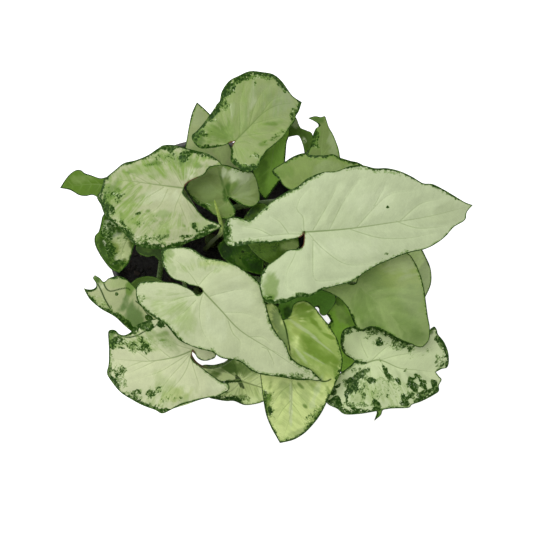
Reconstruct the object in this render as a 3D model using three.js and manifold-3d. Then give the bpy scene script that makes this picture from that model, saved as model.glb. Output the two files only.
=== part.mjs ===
// An arrowhead plant in a round plastic pot. Millimetres, +Z up, with the origin at the centre of the
// pot's base. Five short stems stand in the soil. Every leaf is a thin blade on a long stalk of its own,
// and each stalk rises from the foot of one of the stems.

import * as THREE from 'three';
import { mergeVertices } from 'three/addons/utils/BufferGeometryUtils.js';
import Module from 'manifold-3d';

// ---- Driving dimensions ----

const POT_HEIGHT = 105;
const POT_RIM_RADIUS = 60;
const POT_LIP_WIDTH = 3.2;
const POT_BAND_DEPTH = 13;
const POT_SHOULDER_RADIUS = 56.5;
const POT_BASE_RADIUS = 42;
const POT_WALL = 1.6;
const POT_FLOOR = 2.4;
const POT_SIDES = 40;
const DRAIN_HOLES = 6;
const DRAIN_RADIUS = 4;
const DRAIN_CIRCLE = 29;

const SOIL_TOP = 93;
const SOIL_DOME = 1.5;
const CLEARANCE = 0.3;

const STEM_HEIGHT = 24;
const STEM_FOOT_RADIUS = 4.2;
const STEM_TIP_RADIUS = 2.8;
const STEM_SIDES = 8;

const STALK_FOOT_RADIUS = 2.1;
const STALK_NECK_RADIUS = 1.15;
const STALK_SIDES = 6;
const STALK_STEPS = 9;
const STALK_INSET = 1.6;
const BOW_LEAN = 0.08;
const BOW_RISE = 0.5;
const NECK_LEAN = 0.2;
const NECK_DROP = 0.3;
const SEAT_RADIUS = 1.4;
const SPROUT_TIP_RADIUS = 0.5;

const BLADE_THICKNESS = 0.7;
const LOBE_STEPS = 4;
const FRONT_STEPS = 6;
const CROSS_STEPS = 2;
const OUTLINE_SAMPLES = 240;
const VEIN_SLANT = 0.7;
const LOBE_VEIN = 0.6;
const SLENDER_LOBE = 0.9;
const LEAST_SAMPLES = 7;
const MERGE_GRID = 10000;

// The blades' outlines are drawn on one level plan at PLAN_HEIGHT. They are carried up or down to each
// blade's own height along straight lines that meet at MEETING_POINT, high above the plant.
const PLAN_HEIGHT = 231;
const MEETING_POINT = [34.8, -15.7, 900];

// Feet of the five stems on the soil.
const STEMS = {
  left: [-21, 14],
  front: [-4, -24],
  right: [25, -3],
  back: [10, 24],
  middle: [2, 0],
};

// The sprout's centre line, from the soil beside the middle stem to its free tip.
const SPROUT_PATH = [[-2, -5.2, 93.6], [4, -2, 150], [11, 3, 190], [10.5, 9, 204], [8, 18.5, 214]];

// One entry for each leaf. root is where the stalk meets the blade and tip is the blade's point, both
// with their heights. midrib lists points between them. left and right are the two margins, from the
// root round the basal lobe to the tip, each on its own side as the tip is faced. form shapes the
// blade's surface: arch lifts the midrib's middle, back slopes the lobes down behind the root, lean
// tilts the blade sideways, fold lifts the margins, and droop bends them down again.
const LEAVES = [
  {
    name: 'big_right',
    root: [53.5, 1.5, 228],
    tip: [138, 15, 204],
    form: { arch: 5, back: 0.1, lean: 0.0, fold: 0.1, droop: 0.25 },
    stalk: { stem: 'right', slot: 45, neck: [5, -2, -53], bow: [41, 16, 132] },
    midrib: [[74, 3], [95.5, 6], [116.5, 9.5]],
    left: [
      [52.5, -0.5], [48, -2], [36.5, -4], [29, -4], [20.5, -5.5], [16, -5.5], [13.5, -2], [13.5, 4],
      [15.5, 8.5], [20.5, 9], [26.5, 7.5], [30.5, 11], [37, 16.5], [44.5, 21.5], [50.5, 24.5],
      [55.5, 28.5], [63, 31.5], [69.5, 32], [76.5, 34.5], [82.5, 35], [89, 33.5], [95, 33.5],
      [101.5, 32], [108, 29], [113, 26], [118, 25.5], [124, 22.5], [129, 19.5], [134, 16.5],
    ],
    right: [
      [53.5, -3], [52, -6.5], [45.5, -7.5], [41, -11], [35, -15.5], [32, -20], [31.5, -27],
      [34.5, -33.5], [43.5, -34], [51, -31], [56, -31], [60.5, -28.5], [67.5, -26], [75.5, -24],
      [79.5, -22], [84.5, -18.5], [90.5, -15], [97.5, -12], [105.5, -9], [114, -7], [120, -4],
      [124.5, -0.5], [128.5, 4], [134, 7.5], [135, 11.5],
    ],
  },
  {
    name: 'centre_left',
    root: [3, -28, 222],
    tip: [62.5, -72, 196],
    form: { arch: 4, back: 0.05, lean: 0.05, fold: 0.1, droop: 0.15 },
    stalk: { stem: 'front', slot: 110 },
    midrib: [[11.5, -37], [21.5, -47.5], [35.5, -56.5], [50.5, -66.5], [57.5, -70.5]],
    left: [
      [2, -26.5], [-0.5, -25.5], [-3.5, -25], [-6.5, -23.5], [-10.5, -22.5], [-13, -21], [-15, -18.5],
      [-17, -15], [-17.5, -11], [-17.5, -7.5], [-13.5, -6.5], [-7.5, -6], [-2, -7], [4, -11],
      [11.5, -12.5], [18.5, -14.5], [25, -18.5], [30.5, -23], [33, -27.5], [34.5, -34.5],
      [37.5, -44.5], [41, -50.5], [44.5, -54.5], [46.5, -60], [50.5, -64], [56, -66.5], [59, -69],
      [61, -71],
    ],
    right: [
      [2, -29.5], [0, -30], [-1.5, -28.5], [-3.5, -27], [-6.5, -25.5], [-10.5, -24], [-15, -23.5],
      [-23.5, -23], [-29, -24], [-30.5, -28], [-29.5, -33.5], [-25, -38.5], [-20, -42], [-15, -45.5],
      [-9.5, -52], [-4, -55], [1.5, -57], [7.5, -58.5], [12.5, -61.5], [20.5, -63], [24.5, -65.5],
      [27.5, -68], [33.5, -70], [41.5, -71], [50.5, -72.5], [56.5, -72.5], [60.5, -73],
    ],
  },
  {
    name: 'upper_left',
    root: [-6.5, 23.5, 224],
    tip: [-46.5, 28, 200],
    form: { arch: 4, back: 0.05, lean: -0.05, fold: 0.08, droop: 0.2 },
    stalk: { stem: 'middle', slot: 110 },
    midrib: [[-18.5, 25], [-33.5, 27]],
    left: [
      [-7, 21], [-5, 18.5], [-2, 15.5], [1.5, 11], [5, 8], [9, 6.5], [12.5, 4.5], [8.5, 2], [3, -1],
      [-3, -3], [-7.5, -5], [-13.5, -6.5], [-21, -7], [-27.5, -6], [-32, -4], [-36.5, 1], [-42, 6],
      [-46, 10], [-48, 15], [-50, 19], [-48, 22.5],
    ],
    right: [
      [-5.5, 25.5], [-2.5, 27.5], [1, 29], [4, 30.5], [6, 33.5], [9, 34.5], [12.5, 35], [10.5, 37.5],
      [6, 40.5], [0.5, 42], [-5.5, 43.5], [-11, 45], [-16.5, 45], [-20, 43], [-24.5, 40],
      [-30.5, 37.5], [-36.5, 36], [-41, 32.5],
    ],
  },
  {
    name: 'top_heart',
    root: [19, 47, 222],
    tip: [52.5, 66.5, 203],
    form: { arch: 4, back: 0.05, lean: 0.0, fold: 0.14, droop: 0.15 },
    stalk: { stem: 'back', slot: 100, neck: [4, -2, -40] },
    midrib: [[26.5, 54.5], [33, 61], [40.5, 65]],
    left: [
      [16.5, 46], [12.5, 44.5], [7, 43.5], [1.5, 43.5], [-2, 47], [-2.5, 50], [0, 52], [3.5, 56],
      [7, 59], [10, 63], [11.5, 67.5], [12.5, 72], [16, 77], [20.5, 79.5], [26.5, 82], [33, 81.5],
      [38, 80.5], [42, 77.5], [45, 73.5], [48, 69.5],
    ],
    right: [
      [17.5, 44.5], [17, 40.5], [17, 37], [19.5, 34.5], [23.5, 32], [26.5, 32], [30, 33.5], [32, 37.5],
      [34.5, 41.5], [38.5, 45], [42.5, 48.5], [45, 51.5], [47, 54.5], [49, 57], [49.5, 59.5], [51, 62],
    ],
  },
  {
    name: 'upper_arrow',
    root: [61.5, 19, 203],
    tip: [55.5, 58.5, 184],
    form: { arch: 4, back: 0.05, lean: 0.0, fold: 0.1, droop: 0.1 },
    colour: 'green',
    stalk: { stem: 'right', slot: 90 },
    midrib: [[62, 32.5], [62.5, 45], [63, 54.5], [60, 58]],
    left: [
      [55.5, 19.5], [52.5, 24.5], [52, 31.5], [53, 37], [56, 42.5], [57.5, 46.5], [58, 50],
      [59.5, 53.5], [61.5, 55], [58.5, 57],
    ],
    right: [
      [66, 19], [70.5, 23], [72.5, 29.5], [72, 36], [71, 42.5], [69.5, 47], [68, 50.5], [66, 54],
      [65, 57], [64, 59.5], [62, 59], [59, 59.5],
    ],
  },
  {
    name: 'top_left_grey',
    root: [14, 26.5, 192],
    tip: [0, 66.5, 176],
    form: { arch: 3, back: 0.05, lean: 0.0, fold: 0.1, droop: 0.1 },
    colour: 'green',
    stalk: { stem: 'back', slot: 150 },
    midrib: [[10.5, 42.5], [5, 56]],
    left: [
      [8.5, 24.5], [2.5, 25.5], [-2.5, 29.5], [-5, 35.5], [-6, 42.5], [-5, 48.5], [-4, 54.5], [-2.5, 61],
    ],
    right: [
      [20.5, 25.5], [24, 30], [22, 36.5], [18, 42], [15, 47.5], [11, 54.5], [6, 61],
    ],
  },
  {
    name: 'shaded_heart',
    root: [15.5, 19, 203],
    tip: [10.5, 35.5, 203],
    form: { arch: 3, back: 0.1, lean: 0.0, fold: 0.1, droop: 0.3 },
    stalk: { stem: 'middle', slot: 20 },
    midrib: [[13, 27.5]],
    left: [
      [17, 16.5], [19, 13.5], [19, 10], [16, 8], [12, 8], [8, 10.5], [4, 13.5], [0, 15.5],
      [-3.5, 19.5], [-5.5, 23.5], [-3.5, 28.5], [1, 32.5], [6, 34.5],
    ],
    right: [
      [17.5, 18], [21.5, 15.5], [26, 14], [29.5, 15], [31.5, 18], [31, 23], [30, 27.5], [28, 31.5],
      [24.5, 32], [19.5, 33.5], [15, 35],
    ],
  },
  {
    name: 'top_plain',
    root: [40, 53.5, 196],
    tip: [34.5, 17.5, 180],
    form: { arch: 3, back: 0.05, lean: 0.0, fold: 0.1, droop: 0.1 },
    colour: 'green',
    stalk: { stem: 'back', slot: 50 },
    midrib: [[37.5, 37.5]],
    left: [
      [44.5, 56.5], [46.5, 51.5], [45, 46.5], [44.5, 41.5], [44, 36], [43, 30.5], [40.5, 26], [38, 22.5],
    ],
    right: [
      [34.5, 55.5], [28.5, 50.5], [26.5, 43.5], [27, 36.5], [28, 31], [29.5, 26.5], [31, 21.5],
    ],
  },
  {
    name: 'far_left_tip',
    root: [-35.5, 22.5, 192],
    tip: [-68.5, 23.5, 186],
    form: { arch: 3, back: 0.05, lean: 0.0, fold: 0.1, droop: 0.1 },
    colour: 'green',
    stalk: { stem: 'left', slot: 120 },
    midrib: [[-51, 25.5]],
    left: [
      [-36.5, 18.5], [-42.5, 16.5], [-48, 18], [-52, 20], [-55.5, 19.5], [-59, 20], [-63.5, 22.5],
    ],
    right: [
      [-36.5, 27.5], [-41, 30.5], [-45.5, 29], [-48.5, 28.5], [-53, 30], [-56, 31], [-58, 32.5],
      [-60.5, 32.5], [-63.5, 30.5], [-66, 27.5],
    ],
  },
  {
    name: 'left_variegated',
    root: [-28.5, 6.5, 186],
    tip: [-39, -19, 168],
    form: { arch: 3, back: 0.05, lean: 0.0, fold: 0.08, droop: 0.1 },
    stalk: { stem: 'left', slot: 180 },
    midrib: [[-36.5, -5.5]],
    left: [
      [-24.5, 5.5], [-25, 0.5], [-29.5, -2.5], [-31.5, -6], [-33, -10.5], [-34.5, -14.5],
    ],
    right: [
      [-33.5, 11.5], [-40.5, 13.5], [-46.5, 10.5], [-48, 6], [-49, 2], [-51, -0.5], [-51, -4.5],
      [-49, -9], [-46, -13.5], [-43, -17],
    ],
  },
  {
    name: 'torn_left',
    root: [-23.5, -55, 160],
    tip: [-51, -20, 170],
    form: { arch: 3, back: 0.05, lean: 0.0, fold: 0.1, droop: 0.1 },
    stalk: { stem: 'left', slot: 240, neck: [1, 6, -25] },
    midrib: [[-36, -45.5], [-42.5, -38], [-47, -30], [-49.5, -24.5]],
    left: [
      [-28.5, -55], [-31.5, -50.5], [-33, -45.5], [-36.5, -43], [-42, -40], [-47, -37.5], [-51, -34.5],
      [-54, -31.5], [-56.5, -26.5], [-53.5, -28], [-50.5, -26.5], [-50.5, -24], [-52, -21.5],
    ],
    right: [
      [-17.5, -52.5], [-15.5, -45], [-18.5, -37.5], [-23.5, -32.5], [-28.5, -28.5], [-32.5, -24.5],
      [-36, -21.5], [-40, -20.5], [-44, -21.5], [-46.5, -23.5], [-48.5, -21.5],
    ],
  },
  {
    name: 'lower_left',
    root: [-2, -57.5, 190],
    tip: [-44, -61.5, 168],
    form: { arch: 3, back: 0.05, lean: 0.0, fold: 0.08, droop: 0.1 },
    stalk: { stem: 'front', slot: 285, neck: [6, -28, -16], bow: [52, -50, 184] },
    midrib: [[-11, -61], [-23.5, -63], [-34.5, -62.5]],
    left: [
      [-3, -61], [-1, -63.5], [2.5, -66], [7.5, -70], [12, -73], [15.5, -74], [16, -77.5],
      [10.5, -80.5], [4.5, -81.5], [-1.5, -82.5], [-8.5, -84.5], [-13.5, -87.5], [-17.5, -89],
      [-21, -87.5], [-27, -85], [-33, -82], [-38.5, -78.5], [-43, -72.5], [-45, -69], [-44, -65],
    ],
    right: [
      [-1, -59], [0.5, -61.5], [3, -62.5], [6.5, -62.5], [9.5, -60], [7.5, -51.5], [-0.5, -45],
      [-9.5, -41], [-18.5, -41.5], [-25.5, -43], [-30.5, -45], [-33, -48.5], [-36.5, -50], [-39, -49],
      [-41, -47.5], [-44, -48], [-44, -53.5], [-44, -57.5],
    ],
  },
  {
    name: 'low_front',
    root: [22, -73, 150],
    tip: [51.5, -82.5, 146],
    form: { arch: 3, back: 0.05, lean: 0.0, fold: 0.08, droop: 0.1 },
    stalk: { stem: 'front', slot: 240 },
    midrib: [[36.5, -77.5]],
    left: [
      [20.5, -73], [18, -73], [14.5, -73.5], [10.5, -73], [5.5, -70], [2, -66.5], [3.5, -64.5],
      [8.5, -64.5], [14, -63.5], [17.5, -62], [24, -59.5], [34, -60.5], [42.5, -65.5], [48.5, -73.5],
    ],
    right: [
      [20.5, -73.5], [18, -73.5], [14.5, -73.5], [10, -75.5], [6, -78], [5.5, -81], [9.5, -82],
      [14.5, -83], [18.5, -83], [24, -85], [30.5, -84], [36.5, -82.5], [44.5, -84],
    ],
  },
  {
    name: 'front_centre',
    root: [43, -42, 204],
    tip: [41.5, -104, 165],
    form: { arch: 5, back: 0.05, lean: 0.0, fold: 0.12, droop: 0.12 },
    stalk: { stem: 'front', slot: 8 },
    midrib: [[45, -49], [46.5, -57.5], [47.5, -72.5], [47, -87.5], [44.5, -97.5]],
    left: [
      [45, -41.5], [47, -39], [48, -35], [51, -33], [55, -33], [58.5, -35.5], [62, -40], [65.5, -44.5],
      [69.5, -50.5], [71.5, -56], [73, -63], [71.5, -69.5], [68.5, -76], [65.5, -82.5], [62.5, -88.5],
      [59.5, -93], [55.5, -97.5], [52.5, -100], [48, -102.5],
    ],
    right: [
      [42, -38.5], [40.5, -35.5], [36.5, -33.5], [32.5, -35.5], [30.5, -41.5], [28.5, -50],
      [28.5, -58.5], [31, -66.5], [32, -73], [33, -81], [34.5, -89.5], [37, -96], [39.5, -100.5],
    ],
  },
  {
    name: 'right_plain',
    root: [79.5, -24, 204],
    tip: [113, -56, 184],
    form: { arch: 3, back: 0.05, lean: 0.0, fold: 0.1, droop: 0.1 },
    colour: 'green',
    stalk: { stem: 'right', slot: 325 },
    midrib: [[89, -32.5], [98, -41.5], [105.5, -49.5]],
    left: [
      [80.5, -21], [83.5, -15.5], [90.5, -9.5], [99, -7], [105.5, -9], [109, -13.5], [111.5, -19],
      [113.5, -26], [114.5, -33], [115.5, -40.5], [116.5, -46.5], [116, -52.5],
    ],
    right: [
      [77, -24.5], [72, -22.5], [65.5, -23], [62, -27], [66.5, -29], [71.5, -32], [75, -36],
      [77, -40.5], [79, -45], [82, -47.5], [86.5, -46], [91.5, -47], [97, -50], [102, -52.5],
      [107, -54.5], [110.5, -56],
    ],
  },
  {
    name: 'lower_right',
    root: [84.5, -64, 178],
    tip: [119.5, -68.5, 170],
    form: { arch: 3, back: 0.05, lean: 0.0, fold: 0.08, droop: 0.1 },
    stalk: { stem: 'right', slot: 238, neck: [6, -4, -45] },
    midrib: [[91.5, -62.5], [101.5, -66.5], [110.5, -67.5]],
    left: [
      [82, -63.5], [80, -63], [77.5, -62], [74.5, -60], [72, -56.5], [72, -50.5], [74, -46.5],
      [79.5, -45], [83, -46.5], [87, -45.5], [92, -46.5], [97.5, -49.5], [102.5, -52], [107.5, -53.5],
      [111.5, -53], [115, -50], [116.5, -47], [118.5, -45.5], [120, -47.5], [120.5, -49.5],
      [123.5, -53.5], [125.5, -58.5], [126, -63.5], [125, -66.5], [122.5, -66.5], [121, -67],
    ],
    right: [
      [82, -63.5], [80, -63.5], [77.5, -65], [74.5, -67], [71.5, -69], [68.5, -72], [64.5, -78.5],
      [65, -84], [70, -86.5], [74, -89.5], [81.5, -89.5], [89, -88], [96.5, -86.5], [105.5, -86.5],
      [107.5, -84.5], [112.5, -83], [118, -80], [121, -78], [121, -75], [122.5, -72], [121, -70.5],
    ],
  },
  {
    name: 'right_behind',
    root: [74, -11.5, 186],
    tip: [114, -31.5, 172],
    form: { arch: 2, back: 0.05, lean: 0.0, fold: 0.08, droop: 0.1 },
    colour: 'green',
    stalk: { stem: 'right', slot: 5 },
    midrib: [[94, -18.5]],
    left: [
      [77.5, -2.5], [89, 1.5], [101.5, 0], [110.5, -4.5], [115, -12], [117, -17.5], [117, -24.5],
    ],
    right: [
      [75.5, -20.5], [82.5, -27.5], [94, -32.5], [105.5, -34.5],
    ],
  },
  {
    name: 'small_front',
    root: [68.5, -31, 170],
    tip: [74, -72, 154],
    form: { arch: 2, back: 0.05, lean: 0.0, fold: 0.1, droop: 0.1 },
    colour: 'green',
    stalk: { stem: 'right', slot: 288 },
    midrib: [[73.5, -52.5]],
    left: [
      [75.5, -29.5], [81.5, -35.5], [83.5, -43.5], [83.5, -51], [81.5, -56.5], [80, -62], [77.5, -67.5],
    ],
    right: [
      [65, -30], [62.5, -32], [62, -34.5], [63, -37], [64.5, -39.5], [66, -41], [66.5, -43],
      [65.5, -45], [67, -48.5], [69, -52.5], [70.5, -59], [71.5, -67.5],
    ],
  },
  {
    name: 'dark_left',
    root: [-3.5, -35, 158],
    tip: [-34.5, -26.5, 150],
    form: { arch: 2, back: 0.05, lean: 0.0, fold: 0.08, droop: 0.1 },
    colour: 'dark',
    stalk: { stem: 'left', slot: 300 },
    midrib: [[-18.5, -31]],
    left: [
      [-6.5, -42.5], [-16, -44], [-25.5, -38.5], [-31.5, -32],
    ],
    right: [
      [-6.5, -30.5], [-14.5, -24.5], [-20.5, -21], [-25.5, -20.5], [-30, -21.5], [-33, -24],
    ],
  },
  {
    name: 'left_shaded',
    root: [-5.5, 2.5, 186],
    tip: [-28, -10, 178],
    form: { arch: 2, back: 0.05, lean: 0.0, fold: 0.08, droop: 0.1 },
    colour: 'dark',
    stalk: { stem: 'left', slot: 30 },
    midrib: [[-16, -3.5]],
    left: [
      [-7.5, -5.5], [-14.5, -11.5], [-18.5, -13], [-21.5, -10.5], [-24.5, -11],
    ],
    right: [
      [-9.5, 8.5], [-19.5, 6.5], [-27, -0.5], [-30.5, -5.5], [-30, -8.5],
    ],
  },
  {
    name: 'centre_dark',
    root: [14, -1.5, 172],
    tip: [32.5, -20, 168],
    form: { arch: 2, back: 0.05, lean: 0.0, fold: 0.08, droop: 0.1 },
    colour: 'dark',
    stalk: { stem: 'middle', slot: 320 },
    midrib: [[23, -10]],
    left: [
      [19.5, -0.5], [26.5, -2.5], [32, -7.5], [33.5, -13.5],
    ],
    right: [
      [10.5, -5.5], [12.5, -11], [18.5, -15.5], [25.5, -18.5],
    ],
  },
  {
    name: 'centre_right',
    root: [24.5, 10.5, 188],
    tip: [51.5, -5.5, 186],
    form: { arch: 2, back: 0.05, lean: 0.0, fold: 0.08, droop: 0.1 },
    colour: 'dark',
    stalk: { stem: 'right', slot: 150 },
    midrib: [[37.5, 2]],
    left: [
      [29.5, 16], [37.5, 14.5], [44.5, 9.5], [49.5, 2.5],
    ],
    right: [
      [21.5, 3.5], [25.5, -5.5], [32.5, -12.5], [40, -14.5], [46.5, -10.5],
    ],
  },
  {
    name: 'front_tip',
    root: [94, -72.5, 152],
    tip: [88.5, -93, 140],
    form: { arch: 2, back: 0.05, lean: 0.0, fold: 0.08, droop: 0.1 },
    colour: 'dark',
    stalk: { stem: 'front', slot: 327 },
    midrib: [[92.5, -81.5]],
    left: [
      [99, -75], [100, -81], [96.5, -86], [93, -87.5], [92, -90],
    ],
    right: [
      [89, -73.5], [86, -78.5], [86.5, -84], [89.5, -87.5], [90.5, -89.5],
    ],
  },
  {
    name: 'top_edge',
    root: [56, 42.5, 190],
    tip: [43, 53.5, 186],
    form: { arch: 2, back: 0.05, lean: 0.0, fold: 0.08, droop: 0.1 },
    colour: 'dark',
    stalk: { stem: 'back', slot: 5, neck: [2, -12, -20] },
    midrib: [[55, 47], [52.5, 51], [48, 52.5]],
    left: [
      [54, 41], [53, 45], [51, 49.5], [48, 49.5], [45, 49], [42.5, 50.5],
    ],
    right: [
      [57.5, 44], [58, 47.5], [57.5, 51], [54.5, 52.5], [51.5, 54], [50, 58], [47.5, 60.5], [44.5, 58],
    ],
  },
  {
    name: 'front_shaded',
    root: [52.5, -24.5, 184],
    tip: [66, -38.5, 178],
    form: { arch: 2, back: 0.05, lean: 0.0, fold: 0.08, droop: 0.1 },
    colour: 'dark',
    stalk: { stem: 'front', slot: 60 },
    midrib: [[59.5, -31.5]],
    left: [
      [57.5, -22], [63.5, -23.5], [68, -27.5], [69.5, -33],
    ],
    right: [
      [49, -26.5], [43.5, -30.5], [40.5, -35.5], [41.5, -41.5], [47, -43.5], [53, -40.5], [57, -38],
      [58.5, -36], [60.5, -35.5], [61, -36.5], [61, -38], [62.5, -40], [64.5, -40],
    ],
  },
  {
    name: 'upper_front',
    root: [52, 18.5, 213],
    tip: [88, 28.5, 208],
    form: { arch: 3, back: 0.05, lean: 0.0, fold: 0.08, droop: 0.1 },
    colour: 'green',
    stalk: { stem: 'back', slot: 310 },
    midrib: [[62.5, 23.5], [75.5, 28]],
    left: [
      [50, 20.5], [47, 22.5], [44, 24], [42, 26.5], [40.5, 28.5], [38.5, 30], [37.5, 32], [38, 33],
      [40.5, 34.5], [44.5, 37], [47.5, 39], [51, 40.5], [54, 41], [57.5, 40], [61.5, 40], [65, 40],
      [68, 40.5], [71, 39], [74, 38], [77.5, 37], [80, 36.5], [83, 35], [86, 32],
    ],
    right: [
      [51.5, 16], [51, 13.5], [54.5, 11.5], [60.5, 12], [68.5, 14.5], [76.5, 18.5], [83.5, 23.5],
    ],
  },
];

// ---- Materials ----

const potPlastic = new THREE.MeshStandardMaterial({ color: 0x1d1c1b, roughness: 0.5, metalness: 0 });
const pottingSoil = new THREE.MeshStandardMaterial({ color: 0x17130f, roughness: 0.95, metalness: 0 });
const stemGreen = new THREE.MeshStandardMaterial({ color: 0x5f7038, roughness: 0.6, metalness: 0 });
const stalkGreen = new THREE.MeshStandardMaterial({ color: 0x6f8548, roughness: 0.55, metalness: 0 });
const sproutGreen = new THREE.MeshStandardMaterial({ color: 0x9dbb4a, roughness: 0.5, metalness: 0 });
const bladePale = new THREE.MeshStandardMaterial({ color: 0xb9c79a, roughness: 0.5, metalness: 0 });
const bladeGreen = new THREE.MeshStandardMaterial({ color: 0x6f8f4a, roughness: 0.5, metalness: 0 });
const bladeDark = new THREE.MeshStandardMaterial({ color: 0x3d5c28, roughness: 0.5, metalness: 0 });
const BLADE_MATERIALS = { pale: bladePale, green: bladeGreen, dark: bladeDark };

// ---- Helpers ----

const plant = new THREE.Group();

function addMesh(name, geometry, material) {
  const mesh = new THREE.Mesh(geometry, material);
  mesh.name = name;
  plant.add(mesh);
  return mesh;
}

// A closed geometry from corner points and triangles. Corners at the same place become one, and
// triangles that this leaves without area are dropped.
function closedGeometry(corners, triangles) {
  const places = new Map();
  const positions = [];
  const merged = corners.map((corner) => {
    const key = corner.map((value) => Math.round(value * MERGE_GRID)).join(' ');
    if (!places.has(key)) {
      places.set(key, positions.length / 3);
      positions.push(...corner);
    }
    return places.get(key);
  });
  const index = [];
  for (const [a, b, c] of triangles) {
    const [i, j, k] = [merged[a], merged[b], merged[c]];
    if (i !== j && j !== k && k !== i) {
      index.push(i, j, k);
    }
  }
  const geometry = new THREE.BufferGeometry();
  geometry.setAttribute('position', new THREE.Float32BufferAttribute(positions, 3));
  geometry.setIndex(index);
  geometry.computeVertexNormals();
  return geometry;
}

// A tapered round bar along a curve, closed at both ends.
function taperedBar(curve, steps, sides, footRadius, neckRadius) {
  const frames = curve.computeFrenetFrames(steps, false);
  const corners = [];
  for (let i = 0; i <= steps; i += 1) {
    const centre = curve.getPointAt(i / steps);
    const radius = footRadius + ((neckRadius - footRadius) * i) / steps;
    for (let j = 0; j < sides; j += 1) {
      const angle = (2 * Math.PI * j) / sides;
      const point = centre.clone();
      point.addScaledVector(frames.normals[i], radius * Math.cos(angle));
      point.addScaledVector(frames.binormals[i], radius * Math.sin(angle));
      corners.push(point.toArray());
    }
  }
  const triangles = [];
  for (let i = 0; i < steps; i += 1) {
    for (let j = 0; j < sides; j += 1) {
      const a = i * sides + j;
      const b = i * sides + ((j + 1) % sides);
      triangles.push([a, b, a + sides], [b, b + sides, a + sides]);
    }
  }
  const last = steps * sides;
  for (let j = 1; j < sides - 1; j += 1) {
    triangles.push([0, j + 1, j], [last, last + j, last + j + 1]);
  }
  return closedGeometry(corners, triangles);
}

// ---- Pot ----

// The wall as a closed ring profile with a rolled rim, on a flat floor with drain holes.
async function potGeometry() {
  const bandFoot = POT_HEIGHT - POT_BAND_DEPTH;
  const profile = [
    [0, 0],
    [POT_BASE_RADIUS, 0],
    [POT_BASE_RADIUS + 1, 1.2],
    [POT_SHOULDER_RADIUS, bandFoot],
    [POT_RIM_RADIUS - 1.2, bandFoot + 0.8],
    [POT_RIM_RADIUS, POT_HEIGHT - 1.2],
    [POT_RIM_RADIUS - 1, POT_HEIGHT],
    [POT_RIM_RADIUS - POT_LIP_WIDTH + 0.6, POT_HEIGHT],
    [POT_RIM_RADIUS - POT_LIP_WIDTH, POT_HEIGHT - 1],
    [POT_SHOULDER_RADIUS - POT_WALL, bandFoot - 1],
    [POT_BASE_RADIUS - POT_WALL + 1, POT_FLOOR],
    [0, POT_FLOOR],
  ];
  const outline = profile.map(([radius, height]) => new THREE.Vector2(radius, height));
  const shell = new THREE.LatheGeometry(outline, POT_SIDES);
  shell.rotateX(Math.PI / 2);
  const wasm = await Module();
  wasm.setup();
  let pot = toManifold(wasm, shell);
  for (let i = 0; i < DRAIN_HOLES; i += 1) {
    const angle = (2 * Math.PI * i) / DRAIN_HOLES;
    const drill = new THREE.CylinderGeometry(DRAIN_RADIUS, DRAIN_RADIUS, POT_FLOOR * 4, 12);
    drill.rotateX(Math.PI / 2);
    drill.translate(DRAIN_CIRCLE * Math.cos(angle), DRAIN_CIRCLE * Math.sin(angle), 0);
    pot = pot.subtract(toManifold(wasm, drill));
  }
  return fromManifold(pot);
}

function toManifold(wasm, geometry) {
  const bare = geometry.clone();
  bare.deleteAttribute('normal');
  bare.deleteAttribute('uv');
  const merged = mergeVertices(bare);
  const vertProperties = new Float32Array(merged.attributes.position.array);
  const triVerts = new Uint32Array(merged.index.array);
  return new wasm.Manifold(new wasm.Mesh({ numProp: 3, vertProperties, triVerts }));
}

function fromManifold(solid) {
  const mesh = solid.getMesh();
  const geometry = new THREE.BufferGeometry();
  geometry.setAttribute('position', new THREE.BufferAttribute(mesh.vertProperties.slice(), 3));
  geometry.setIndex(new THREE.BufferAttribute(mesh.triVerts.slice(), 1));
  geometry.computeVertexNormals();
  return geometry;
}

// ---- Soil ----

// The soil fills the pot to a little below the rim and keeps the clearance to floor and wall.
function soilGeometry() {
  const bandFoot = POT_HEIGHT - POT_BAND_DEPTH;
  const footRadius = POT_BASE_RADIUS - POT_WALL + 1 - CLEARANCE;
  const slope = (POT_SHOULDER_RADIUS - POT_BASE_RADIUS - 1) / (bandFoot - 1 - POT_FLOOR);
  const edgeHeight = SOIL_TOP - SOIL_DOME - 2;
  const profile = [
    [0, POT_FLOOR + CLEARANCE],
    [footRadius - CLEARANCE, POT_FLOOR + CLEARANCE],
    [footRadius + slope * (edgeHeight - POT_FLOOR) - CLEARANCE, edgeHeight],
    [POT_SHOULDER_RADIUS * 0.75, SOIL_TOP - SOIL_DOME * 0.5],
    [0, SOIL_TOP],
  ];
  const outline = profile.map(([radius, height]) => new THREE.Vector2(radius, height));
  const soil = new THREE.LatheGeometry(outline, POT_SIDES);
  soil.rotateX(Math.PI / 2);
  return soil;
}

// ---- Stems ----

function stemGeometry([x, y]) {
  const foot = new THREE.Vector3(x, y, SOIL_TOP + CLEARANCE);
  const top = new THREE.Vector3(x, y, SOIL_TOP + STEM_HEIGHT);
  const curve = new THREE.LineCurve3(foot, top);
  return taperedBar(curve, 2, STEM_SIDES, STEM_FOOT_RADIUS, STEM_TIP_RADIUS);
}

// ---- Blades ----

// A point of the level plan, carried to the given height.
function atHeight([x, y], height) {
  const scale = (MEETING_POINT[2] - height) / (MEETING_POINT[2] - PLAN_HEIGHT);
  return [
    MEETING_POINT[0] + (x - MEETING_POINT[0]) * scale,
    MEETING_POINT[1] + (y - MEETING_POINT[1]) * scale,
    height,
  ];
}

// A smooth plan line through points, as evenly spaced samples.
function smoothLine(points, count) {
  const line = new THREE.SplineCurve(points.map(([x, y]) => new THREE.Vector2(x, y)));
  return line.getSpacedPoints(count).map((point) => [point.x, point.y]);
}

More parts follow.
